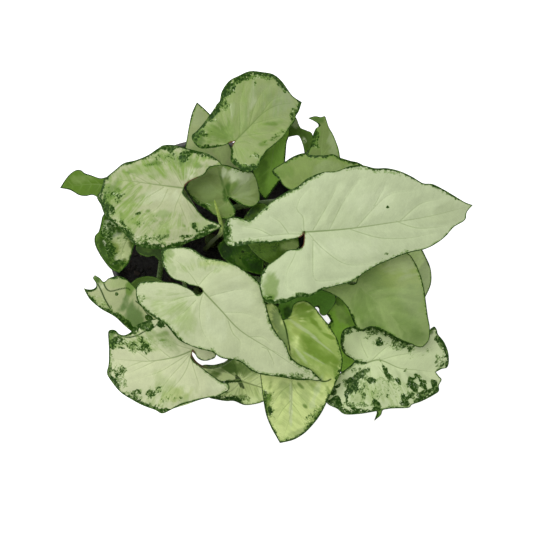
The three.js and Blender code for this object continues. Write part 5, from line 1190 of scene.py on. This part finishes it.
# Partly the sheath's own duller colour and partly painted shade: the foot of each stalk, deep among the
# stems, turns dark olive.
colour = mix_colour(tree, ease(tree, along, 0.0, 0.22, 0.7, 0), colour, (0.06, 0.08, 0.027, 1))
blotched = times(tree, ease(tree, blotch, 0.4, 0.62), 0.25)
colour = mix_colour(tree, blotched, colour, (0.08, 0.12, 0.03, 1))
worn = times(tree, flush, scaled(tree, blotch, 0.9, 0.4))
colour = mix_colour(tree, worn, colour, (0.10, 0.045, 0.022, 1))
coat(tree, shader, colour, scaled(tree, streak, 0.3, 0.3), 0.12, streak, 0.35, 0.0002)

for name, leaf in LEAVES.items():
    path = stalk_path(leaf)
    part = np.linspace(0, 1, STALK_STEPS + 1)
    neck_radius = SLIM_NECKS.get(name, STALK_RADII[1])
    radius = neck_radius + (STALK_RADII[0] - neck_radius) * (1 - part) ** 1.5
    radius *= 1 + NECK_BULGE * hump(part - 0.985, 0.02) + SHEATH_BULGE * hump(part - SHEATH_SHARE, 0.03)
    turn = np.linspace(0, 2 * np.pi, STALK_SIDES, endpoint=False)
    off_channel = np.angle(np.exp(1j * (turn - np.pi / 2)))
    deepening = np.clip((part[:, None] - 0.1) * 5, 0, 1)
    channel = 1 - CHANNEL_DEPTH * hump(off_channel, 0.5)[None, :] * deepening
    stalk = put_mesh("leafstalk_" + name, *bar(path, radius, STALK_SIDES, channel))
    spread = bar_values(part, STALK_SIDES)
    set_layer(stalk, "along", spread)
    red, red_from = RED_NECKS.get(name, USUAL_FLUSH)
    set_layer(stalk, "flush", red * fade(spread, red_from, min(1, red_from + 0.12)))
    stalk.data.materials.append(stalk_green)
    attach(stalk, "root")
    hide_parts("stalk_" + name)

# ---- Sprout ----
# The newest leaf is still rolled into a thin, soft, yellow-green spike. The free edge of the roll winds
# up it as a raised seam. Its lower part, deep among the stalks, is painted almost black as shade.

SPROUT_POINTS = [(-2, -5.2, 93.6), (4, -2, 150), (11, 3, 190), (10.5, 9, 204), (8, 18.5, 214)]
SPROUT_STEPS = 110
SPROUT_SIDES = 32
SPROUT_RADIUS = 1.5
SPROUT_TAPER = 0.8
SPROUT_BULGE = 0.3
SPROUT_TURNS = 2.2
LAP_RISE = 0.17
LAP_SINK = 0.06
SEAM_WIDTH = 0.045

sprout_green, tree, shader = new_material("sprout_green")
place = add_node(tree, "TexCoord").outputs["Object"]
seam = stored(tree, "seam")
sprout_along = stored(tree, "sprout_along")
stretched = scaled_place(tree, place, (1, 1, 0.2))
streak = noise(tree, stretched, 1200, 3, 0.6)
colour = mix_colour(tree, ease(tree, streak, 0.3, 0.7), (0.22, 0.33, 0.045, 1), (0.42, 0.52, 0.13, 1))
colour = mix_colour(tree, seam, colour, (0.13, 0.22, 0.04, 1))
# Painted shade: the lower part of the sprout darkens almost to black, as it lies in shadow deep in the
# plant.
colour = mix_colour(tree, ease(tree, sprout_along, 0.62, 0.85, 0.92, 0), colour, (0.013, 0.02, 0.006, 1))
coat(tree, shader, colour, scaled(tree, streak, 0.25, 0.3), 0.15, streak, 0.3, 0.0002)

path = smooth_line(SPROUT_POINTS, SPROUT_STEPS)
part = np.linspace(0, 1, SPROUT_STEPS + 1)
radius = SPROUT_RADIUS - SPROUT_TAPER * part + SPROUT_BULGE * hump(part - 0.8, 0.12)
radius *= np.sqrt(np.clip(1 - ((part - 0.93) / 0.07).clip(0) ** 2, 0.002, 1))
turn = np.linspace(0, 2 * np.pi, SPROUT_SIDES, endpoint=False)
lap = (turn[None, :] / (2 * np.pi) - SPROUT_TURNS * part[:, None]) % 1
swell = 1 + LAP_RISE * (1 - lap) - LAP_SINK
sprout = put_mesh("rolled_sprout", *bar(path, radius, SPROUT_SIDES, swell))
seam_line = hump(np.minimum(lap, 1 - lap), SEAM_WIDTH)
set_layer(sprout, "seam", np.append(seam_line.ravel(), [0, 0]))
set_layer(sprout, "sprout_along", bar_values(part, SPROUT_SIDES))
sprout.data.materials.append(sprout_green)
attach(sprout, "root")
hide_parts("sprout")

# ---- Leaf blades ----
# A blade is a thin soft leaf with a sunk midrib, side veins that slant to the margin, and two lobes
# behind the stalk. Pale blades are cream to grey green with a dark mottled margin, the others are plain
# green, and those low in the plant are dark.

VEIN_SLANT = 0.7
LOBE_VEIN = 0.75
LOBE_MIDDLE = 0.35
MARGIN_SAMPLES = 480
LEAD_SAMPLES = 2001
MARGIN_PULL = 0.5
ROW_STRETCH = 1.4
SETTLING = 12
JOIN_CELLS = 200
VEIN_PARTS = (0.02, 0.13, 0.26, 0.39, 0.52, 0.66, 0.8)
VEIN_REACH = 0.88
VEIN_BOW = 0.09
VEIN_FADE = 0.25
LOBE_SWING = 25
SIDE_SHIFT = 500
FAR_OFF = 99.0
RUFFLE = 0.6
EDGE_RUFFLE = 0.12
CUSHION = 0.7
MARGIN_HALF = 0.08
BODY_HALF = 0.17
RIB_GROOVE = 0.34
VEIN_GROOVE = 0.15
RIB_RIDGE = 0.5
VEIN_RIDGE = 0.16
BLADE_SHARP = 1.05
NET_SIZE = 64
GRID_STEP = {"leaf_pale": 0.74, "leaf_green": 0.8, "leaf_dark": 1.1}
# shade is the grey green of a painted cast shadow. On the leaves whose comments say so, moss, fern, deep and
# dark patches are painted shade too.
SPOT_COLOURS = {
    "cream": (200, 210, 174), "yellow": (172, 188, 104), "leaf": (150, 170, 106), "fern": (100, 130, 56),
    "deep": (64, 96, 32), "dark": (34, 58, 20), "moss": (134, 156, 96), "grey": (168, 180, 138),
    "sage": (146, 160, 118), "olive": (106, 136, 46), "lime": (142, 168, 82), "shade": (104, 128, 74),
}
GREEN_LEAVES = (
    "upper_arrow", "upper_front", "top_left_grey", "top_plain", "far_left_tip", "right_plain",
    "right_behind", "small_front",
)
DARK_LEAVES = (
    "dark_left", "left_shaded", "centre_dark", "centre_right", "front_tip", "top_edge", "front_shaded",
)


def half_plan(leaf, side):
    """One half of the blade: its margin from the root round the lobe to the tip, the sample where the lobe
    is longest, the sample at the shoulder, and for each lead the margin place with that lead. A place's
    lead is its distance ahead of the root less 0.7 times its distance aside: side veins keep one lead."""
    root = np.array(leaf["root"][:2])
    margin = smooth_line([leaf["root"][:2], *leaf[side], leaf["tip"][:2]], MARGIN_SAMPLES)
    along, across = own_axes(leaf, margin)
    lead = along - VEIN_SLANT * np.abs(across)
    shoulder = np.nonzero(lead < 0)[0][-1] + 1 if (lead < 0).any() else 1
    lobe_tip = int(np.argmax(np.linalg.norm(margin[: shoulder + 1] - root, axis=1)))
    leads = np.linspace(0, leaf_length(leaf), LEAD_SAMPLES)
    tail = np.maximum.accumulate(lead[shoulder:]).clip(0) + np.arange(len(lead) - shoulder) * 1e-3
    tail = (tail - tail[0]) / (tail[-1] - tail[0]) * leads[-1]
    return margin, lobe_tip, shoulder, leads, np.interp(leads, tail, np.arange(shoulder, len(lead)))


def margin_at(margin, place):
    """The margin's points at places between its samples."""
    sample = np.arange(len(margin))
    return np.stack([np.interp(place, sample, margin[:, 0]), np.interp(place, sample, margin[:, 1])], -1)


def lobe_vein(margin, lobe_tip, shoulder, part):
    """A line out into the basal lobe: at each part of the way, a point between the inner and the outer
    margin, which starts at the root and comes halfway between them by a third of the way."""
    part = LOBE_VEIN * np.asarray(part)
    inner = margin_at(margin, lobe_tip * part)
    outer = margin_at(margin, shoulder + (lobe_tip - shoulder) * part)
    share = 0.5 * np.clip(part / LOBE_MIDDLE, 0, 1)
    return inner + (outer - inner) * share[:, None]


def blade_plan(leaf, halves, step):
    """Both halves of the blade as grids of plan points, rows from the veins out to the margin. Rows of the
    lobe start out along the lobe vein for the inner margin and back for the outer one. Rows of the front
    start at the same midrib places in both halves, closer where a margin runs on quickly, and end at
    the margin place with the same lead. Then the inner points settle between their neighbours."""
    line = midrib_line(leaf)
    rib_along = np.maximum.accumulate(own_axes(leaf, line)[0])
    samples = [np.linalg.norm(np.diff(half[0], axis=0), axis=1).mean() for half in halves]
    leads = halves[0][3]
    pulls = [MARGIN_PULL * (half[4] - half[4][0]) * sample for half, sample in zip(halves, samples)]
    spread = leads + sum(pulls)
    rows = int(np.ceil(spread[-1] / step / ROW_STRETCH))
    chosen = np.interp(np.linspace(0, spread[-1], rows + 1), spread, leads)
    starts = np.stack([np.interp(chosen, rib_along, line[:, k]) for k in (0, 1)], -1)
    grids = []
    for (margin, lobe_tip, shoulder, _, places), sample in zip(halves, samples):
        lobe_rows = max(4, int(np.ceil(max(lobe_tip, shoulder - lobe_tip) * sample / step)))
        part = np.linspace(0, 1, lobe_rows + 1)
        inner = lobe_vein(margin, lobe_tip, shoulder, part)
        row_starts = np.vstack([inner, inner[-2::-1], starts[1:]])
        outer_places = lobe_tip + (shoulder - lobe_tip) * part[1:]
        front_places = np.interp(chosen, leads, places)[1:]
        row_ends = margin_at(margin, np.concatenate([lobe_tip * part, outer_places, front_places]))
        columns = int(np.ceil(np.linalg.norm(row_ends - row_starts, axis=1).max() / step))
        cross = np.linspace(0, 1, columns + 1)[None, :, None]
        grid = row_starts[:, None] + (row_ends - row_starts)[:, None] * cross
        for _ in range(SETTLING):
            around = grid[:-2, 1:-1] + grid[2:, 1:-1] + grid[1:-1, :-2] + grid[1:-1, 2:]
            grid[1:-1, 1:-1] = around / 4
        grids.append(grid)
    return grids


def joined(grids):
    """The halves as one set of points and faces seen from above, and the pairs of points that follow each
    other round the margin. Points at the same place become one. Faces that shrink to nothing go, and so
    do triangles that lie on each other and stretches of the margin where both halves touch."""
    points, faces, rims, start = [], [], [], 0
    for grid, left in zip(grids, (True, False)):
        rows, columns = grid.shape[:2]
        quads = grid_faces(rows, columns, closed=False) + start
        faces.append(quads[:, ::-1] if left else quads)
        rim = start + np.arange(rows) * columns + columns - 1
        rims.append(np.stack([rim[1:], rim[:-1]], -1) if left else np.stack([rim[:-1], rim[1:]], -1))
        points.append(grid.reshape(-1, 2))
        start += rows * columns
    points, faces, rims = np.vstack(points), np.vstack(faces), np.vstack(rims)
    cells = np.round(points * JOIN_CELLS).astype(np.int64)
    _, first, place = np.unique(cells, axis=0, return_index=True, return_inverse=True)
    place = place.ravel()
    faces, rims = place[faces], place[rims]
    same = faces == np.roll(faces, -1, axis=1)
    whole = faces[(same.sum(1) == 0) & (faces[:, 0] != faces[:, 2]) & (faces[:, 1] != faces[:, 3])]
    pinched = faces[same.sum(1) == 1]
    drop = same[same.sum(1) == 1].argmax(1)
    order = (drop[:, None] + np.array([1, 2, 3])) % 4
    triangles = np.take_along_axis(pinched, order, axis=1)
    triangles = triangles[triangles[:, 0] != triangles[:, 2]]
    ordered = np.sort(triangles, axis=1)
    _, kind, repeats = np.unique(ordered, axis=0, return_inverse=True, return_counts=True)
    triangles = triangles[repeats[kind.ravel()] == 1]
    rims = rims[rims[:, 0] != rims[:, 1]]
    touching = np.isin(rims @ [len(first), 1], rims @ [1, len(first)])
    return points[first], whole, triangles, rims[~touching]


def drawn_veins(leaf, halves):
    """Side veins as plan lines: those given, or else one from each of seven midrib places at a slant to
    near the margin, a little bowed ahead, and one down the middle of each lobe."""
    if "veins" in leaf:
        return [smooth_line(vein, 24) for vein in leaf["veins"]]
    line, veins = midrib_line(leaf), []
    rib_along = np.maximum.accumulate(own_axes(leaf, line)[0])
    t = np.linspace(0, 1, 16)[:, None]
    ahead = (np.array(leaf["tip"]) - np.array(leaf["root"]))[:2] / leaf_length(leaf)
    for margin, lobe_tip, shoulder, leads, places in halves:
        for part in VEIN_PARTS:
            start = np.array([np.interp(part * leads[-1], rib_along, line[:, k]) for k in (0, 1)])
            end = margin_at(margin, np.array([np.interp(part * leads[-1], leads, places)]))[0]
            reach = np.linalg.norm(end - start)
            bowed = ahead * reach * VEIN_BOW * np.sin(np.pi * t) * t
            veins.append(start + (end - start) * t * VEIN_REACH + bowed)
        veins.append(lobe_vein(margin, lobe_tip, shoulder, np.linspace(0, 1, 16)))
    return veins


def soft_waves(points, seed, short, long, count=9):
    """A sum of waves in random directions over the plan, which is about 0.7 high or low in most places."""
    phase, _ = wave_phases(points[:, 0], points[:, 1], seed, short, long, count)
    return np.sin(phase).sum(1) / np.sqrt(count)


def mottle(places, seed, size, layers=4):
    """Layered noise from 0 to 1: random values on a square net, blended smoothly between its points. Each
    layer has half the mesh and half the strength of the last."""
    values = np.random.default_rng(seed).random((NET_SIZE, NET_SIZE))
    total = 0
    for layer in range(layers):
        p = places * 2**layer / size + 17.3 * layer
        low = np.floor(p).astype(int)
        t = p - low
        t = t * t * (3 - 2 * t)
        (x, y), (u, v) = (low % NET_SIZE).T, ((low + 1) % NET_SIZE).T
        near = values[x, y] * (1 - t[:, 0]) + values[u, y] * t[:, 0]
        far = values[x, v] * (1 - t[:, 0]) + values[u, v] * t[:, 0]
        total = total + (near * (1 - t[:, 1]) + far * t[:, 1]) / 2**layer
    return total / (2 - 2 / 2**layers)


def spots(leaf, points, streaks, seed):
    """The leaf's tone with its patches laid over it one after the other, and how much fleck, fringe, blush
    and green each point has. A patch is a soft ellipse, whose outline breaks up along the side veins."""
    colour = np.tile(linear(leaf["tone"]), (len(points), 1))
    extra = {kind: np.zeros(len(points)) for kind in ("fleck", "fringe", "blush", "green")}
    along_veins = mottle(streaks[:, :2] * (1, 0.3), seed, 3.2) - 0.5
    uneven = 1.1 * along_veins + 0.7 * (mottle(points, seed + 1, 5) - 0.5)
    crumbled = 1.4 * (mottle(points, seed + 2, 2.6, 3) - 0.5) + 0.4 * uneven
    for kind, x, y, half_x, half_y, turn, amount in leaf.get("patches", ()):
        angle = np.radians(turn)
        gap = points - (x, y)
        u = (gap[:, 0] * np.cos(angle) + gap[:, 1] * np.sin(angle)) / half_x
        v = (gap[:, 1] * np.cos(angle) - gap[:, 0] * np.sin(angle)) / half_y
        broken = crumbled if kind in extra else uneven + 0.4 * crumbled
        share = 1 - fade(np.hypot(u, v) + broken, 0.5, 1.15)
        if kind in extra:
            extra[kind] = np.maximum(extra[kind], amount * share)
        else:
            colour += (linear(SPOT_COLOURS[kind]) - colour) * (amount * share)[:, None]
    return colour, extra


def blade(name, leaf, step, seed):
    """A blade's mesh and what its paint needs. The middle surface is blade_height plus gentle ruffles that
    grow towards the margin, and cushions between the veins. The upper skin is grooved along the midrib
    and side veins, and the lower one is ridged there. The blade thins out to its margin."""
    halves = [half_plan(leaf, side) for side in ("left", "right")]
    points, quads, triangles, rims = joined(blade_plan(leaf, halves, step))
    line = midrib_line(leaf)
    outline = np.vstack([halves[0][0][::3], halves[1][0][::-3]])
    edge = line_distance(points, outline)[0]
    rib, rib_place, side = line_distance(points, line)
    rib_share = rib_place / leaf_length(leaf)
    vein = np.full(len(points), FAR_OFF)
    for path in drawn_veins(leaf, halves):
        away, place, _ = line_distance(points, path)
        reach = np.linalg.norm(np.diff(path, axis=0), axis=1).sum()
        vein = np.minimum(vein, away + VEIN_FADE * (place / reach) ** 2)
    calm = fade(edge, 0, 5)
    ruffle = soft_waves(points, seed, 16, 34) * RUFFLE * (0.25 + np.exp(-edge / 6))
    ruffle += soft_waves(points, seed + 50, 6, 12) * EDGE_RUFFLE * np.exp(-edge / 4)
    cushion = CUSHION * (1 - hump(np.minimum(vein, rib * 0.8), 2.6)) * calm
    free = fade(np.hypot(*(points - leaf["root"][:2]).T), 1, 9)
    middle = blade_height(leaf, points) + ruffle * free + cushion
    taper = np.clip(1 - rib_share, 0, 1) ** 0.7
    half_thick = MARGIN_HALF + BODY_HALF * (1 - np.exp(-edge / 1.5))
    groove = RIB_GROOVE * hump(rib, 0.75) * taper + VEIN_GROOVE * hump(vein, 0.45) * calm
    ridge = RIB_RIDGE * hump(rib, 0.9) * taper + VEIN_RIDGE * hump(vein, 0.6) * calm
    groove *= fade(edge, 0, 1.5)
    ridge *= fade(edge, 0, 1.5)
    upper = at_height(points, middle)
    lower = upper.copy()
    upper[:, 2] += half_thick - groove
    lower[:, 2] -= half_thick + ridge
    count = len(points)
    wall = np.stack([rims[:, 0], rims[:, 1], rims[:, 1] + count, rims[:, 0] + count], -1)
    under = [quads[:, ::-1] + count, triangles[:, ::-1] + count, wall[:, ::-1]]
    piece = put_mesh("leafblade_" + name, np.vstack([upper, lower]), [quads, triangles, *under], BLADE_SHARP)
    along, across = own_axes(leaf, points)
    lead = along - VEIN_SLANT * np.abs(across)
    swing = np.arctan2(np.abs(across), along) - np.arctan2(1, VEIN_SLANT)
    around = np.where(lead >= 0, lead, -LOBE_SWING * np.maximum(swing, 0))
    outward = np.where(lead >= 0, np.abs(across) * np.hypot(1, VEIN_SLANT), np.hypot(along, across))
    streaks = np.stack([around + SIDE_SHIFT * side, outward, np.zeros(count)], -1)
    crease = np.full(count, FAR_OFF)
    for path in leaf.get("creases", ()):
        crease = np.minimum(crease, line_distance(points, smooth_line(path, 30))[0])
    tint, extra = spots(leaf, points, streaks, seed + 9)
    pale_back = tint * 0.7 + linear((150, 165, 120)) * 0.3
    set_colours(piece, "tint", np.vstack([tint, pale_back]))
    distances = {"edge": edge, "rib": rib + 0.5 * rib_share, "vein": vein, "crease": crease}
    for key, values in distances.items():
        set_layer(piece, key, np.tile(values, 2))
    for key, values in extra.items():
        set_layer(piece, key, np.concatenate([values, 0.5 * values]))
    set_layer(piece, "streaks", np.tile(streaks, (2, 1)), "FLOAT_VECTOR", "vector")
    return piece


def leaf_paint():
    """A node group that turns a leaf's spots and distances into colour, roughness and height. Fine streaks
    run along the side veins, the veins are drawn as lines of their own colour, flecks and the dark rim
    break up in clouds, and the fine net of veins raises small cushions."""
    group = bpy.data.node_groups.new("leaf_paint", "ShaderNodeTree")
    inputs = {
        "Color": ("Tint", "Dark", "Vein Colour"), "Vector": ("Streaks",),
        "Float": ("Edge", "Rib", "Vein", "Fleck", "Fringe", "Blush", "Green", "Crease", "Rim",
                  "Margin Fringe", "Margin Fleck", "Vein Strength"),
    }
    outputs = {"Color": ("Color",), "Float": ("Roughness", "Height")}
    for way, sockets in (("INPUT", inputs), ("OUTPUT", outputs)):
        for kind, names in sockets.items():
            for name in names:
                group.interface.new_socket(name, in_out=way, socket_type="NodeSocket" + kind)
    given = group.nodes.new("NodeGroupInput").outputs
    place = add_node(group, "TexCoord").outputs["Object"]
    streak_place = scaled_place(group, given["Streaks"], (1.7, 0.22, 1))
    streak = noise(group, streak_place, 1, 3, 0.6)
    speckle = noise(group, place, 1900, 2)
    cloud = noise(group, place, 130, 4, 0.6)
    band_place = scaled_place(group, given["Streaks"], (0.42, 0.07, 1))
    band = noise(group, band_place, 1, 4, 0.6, 0.6)
    greener = times(group, ease(group, band, 0.4, 0.62), given["Green"])
    clouded, slightly = ease(group, cloud, 0.35, 0.65), times(group, given["Green"], 0.3)
    greener = scaled(group, clouded, slightly, greener)
    tint = mix_colour(group, times(group, greener, 0.8), given["Tint"], (0.21, 0.32, 0.07, 1))
    shade = scaled(group, streak, 0.2, 0.9)
    shade = times(group, shade, ease(group, given["Vein"], 0.2, 1.6, 1.05, 1.0))
    shade = times(group, shade, scaled(group, speckle, 0.16, 0.92))
    shade = times(group, shade, scaled(group, cloud, 0.34, 0.83))
    colour = darkened(group, tint, shade)

    stretch = ease(group, noise(group, place, 55, 2, 0.5), 0.38, 0.6)
    margin_fleck = ease(group, given["Edge"], 0.5, 4.5, given["Margin Fleck"], 0)
    fleck = calc(group, "MAXIMUM", given["Fleck"], times(group, margin_fleck, stretch))
    threshold = scaled(group, calc(group, "MINIMUM", fleck, 0.85), -0.4, 0.7)
    grain_place = scaled_place(group, given["Streaks"], (1.25, 0.7, 1))
    dapple = times(group, noise(group, place, 210, 2, 0.5), 0.3)
    dapple = scaled(group, noise(group, grain_place, 1, 3, 0.65), 0.35, dapple)
    dapple = scaled(group, noise(group, place, 950, 3, 0.7), 0.35, dapple)
    over = calc(group, "SUBTRACT", dapple, threshold)
    halo = times(group, ease(group, over, -0.07, 0.0), ease(group, fleck, 0.02, 0.2))
    fleck_core = times(group, ease(group, over, -0.005, 0.03), ease(group, fleck, 0.02, 0.2))
    between = mix_colour(group, 0.8, given["Tint"], (0.13, 0.25, 0.035, 1))
    lighter = ease(group, noise(group, place, 700, 3, 0.6), 0.45, 0.72, 0, 0.6)
    dark = mix_colour(group, lighter, given["Dark"], between)
    colour = mix_colour(group, times(group, halo, 0.8), colour, between)
    colour = mix_colour(group, fleck_core, colour, dark)

    bare = times(group, ease(group, dapple, 0.46, 0.38), ease(group, fleck, 0.1, 0.5))
    bare = times(group, bare, given["Vein Strength"])
    colour = mix_colour(group, times(group, bare, 0.7), colour, (0.6, 0.68, 0.44, 1))

    vein_line = ease(group, given["Vein"], 0.05, 0.45, 1, 0)
    rib_line = ease(group, given["Rib"], 0.1, 0.7, 1, 0)
    drawn = calc(group, "MAXIMUM", times(group, vein_line, 0.5), rib_line)
    drawn = times(group, drawn, given["Vein Strength"])
    colour = mix_colour(group, drawn, colour, given["Vein Colour"])

    # Painted shade: a dark line along each crease, where the blade folds or a slot opens, partly the dark
    # rim of a turned margin.
    fold = ease(group, given["Crease"], 0.15, 0.6, 0.9, 0)
    colour = mix_colour(group, fold, colour, given["Dark"])
    broken = noise(group, place, 620, 4, 0.7)
    fringe = scaled(group, given["Margin Fringe"], stretch, given["Fringe"])
    span = times(group, fringe, scaled(group, broken, 5.0, -1.6))
    width = calc(group, "ADD", given["Rim"], calc(group, "MAXIMUM", span, 0.0))
    ratio = calc(group, "DIVIDE", given["Edge"], width)
    beside = ease(group, ratio, 1.4, 2.2, 1, 0)
    middle_zone = times(group, beside, ease(group, broken, 0.42, 0.54))
    colour = mix_colour(group, times(group, middle_zone, 0.8), colour, between)
    brown = mix_colour(group, given["Blush"], dark, (0.115, 0.05, 0.024, 1))
    colour = mix_colour(group, ease(group, ratio, 0.85, 1.1, 1, 0), colour, brown)

    net = add_node(group, "TexVoronoi", {"Vector": place, "Scale": 420.0}, feature="DISTANCE_TO_EDGE")
    net = ease(group, net.outputs["Distance"], 0, 0.3)
    height = scaled(group, net, 0.55, times(group, speckle, 0.3))
    height = scaled(group, streak, 0.5, height)
    end = group.nodes.new("NodeGroupOutput")
    group.links.new(colour, end.inputs["Color"])
    group.links.new(ease(group, cloud, 0.3, 0.7, 0.4, 0.56), end.inputs["Roughness"])
    group.links.new(height, end.inputs["Height"])
    return group


def leaf_material(name, paint, dark, vein_colour, **amounts):
    """A leaf's surface: the leaf paint, a satin skin and a fine raised net."""
    material, tree, shader = new_material(name)
    given = add_node(tree, "Group", node_tree=paint)
    for key in ("Tint", "Streaks", "Edge", "Rib", "Vein", "Fleck", "Fringe", "Blush", "Green", "Crease"):
        socket = {"Tint": "Color", "Streaks": "Vector"}.get(key, "Fac")
        tree.links.new(stored(tree, key.lower(), socket), given.inputs[key])
    given.inputs["Dark"].default_value = (*linear(dark), 1)
    given.inputs["Vein Colour"].default_value = (*linear(vein_colour), 1)
    for key, value in amounts.items():
        given.inputs[key.replace("_", " ").title()].default_value = value
    colour, roughness, height = [given.outputs[name] for name in ("Color", "Roughness", "Height")]
    coat(tree, shader, colour, roughness, 0.08, height, 0.35, 0.00025)
    return material


PAINTS = {
    "leaf_pale": {
        "dark": (30, 62, 6), "vein_colour": (104, 126, 66), "rim": 0.4, "margin_fringe": 0.36,
        "margin_fleck": 0.34, "vein_strength": 0.8,
    },
    "leaf_green": {
        "dark": (27, 56, 5), "vein_colour": (146, 168, 104), "rim": 0.4, "margin_fringe": 0.3,
        "margin_fleck": 0.2, "vein_strength": 0.36,
    },
    "leaf_dark": {
        "dark": (16, 36, 4), "vein_colour": (30, 54, 14), "rim": 0.3, "margin_fringe": 0.1,
        "margin_fleck": 0.1, "vein_strength": 0.14,
    },
}

paint = leaf_paint()
leaf_finishes = {name: leaf_material(name, paint, **amounts) for name, amounts in PAINTS.items()}
for seed, (name, leaf) in enumerate(LEAVES.items()):
    finish = "leaf_green" if name in GREEN_LEAVES else "leaf_dark" if name in DARK_LEAVES else "leaf_pale"
    piece = blade(name, leaf, GRID_STEP[finish], 100 * seed)
    piece.data.materials.append(leaf_finishes[finish])
    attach(piece, "root")
    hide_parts("blade_" + name)
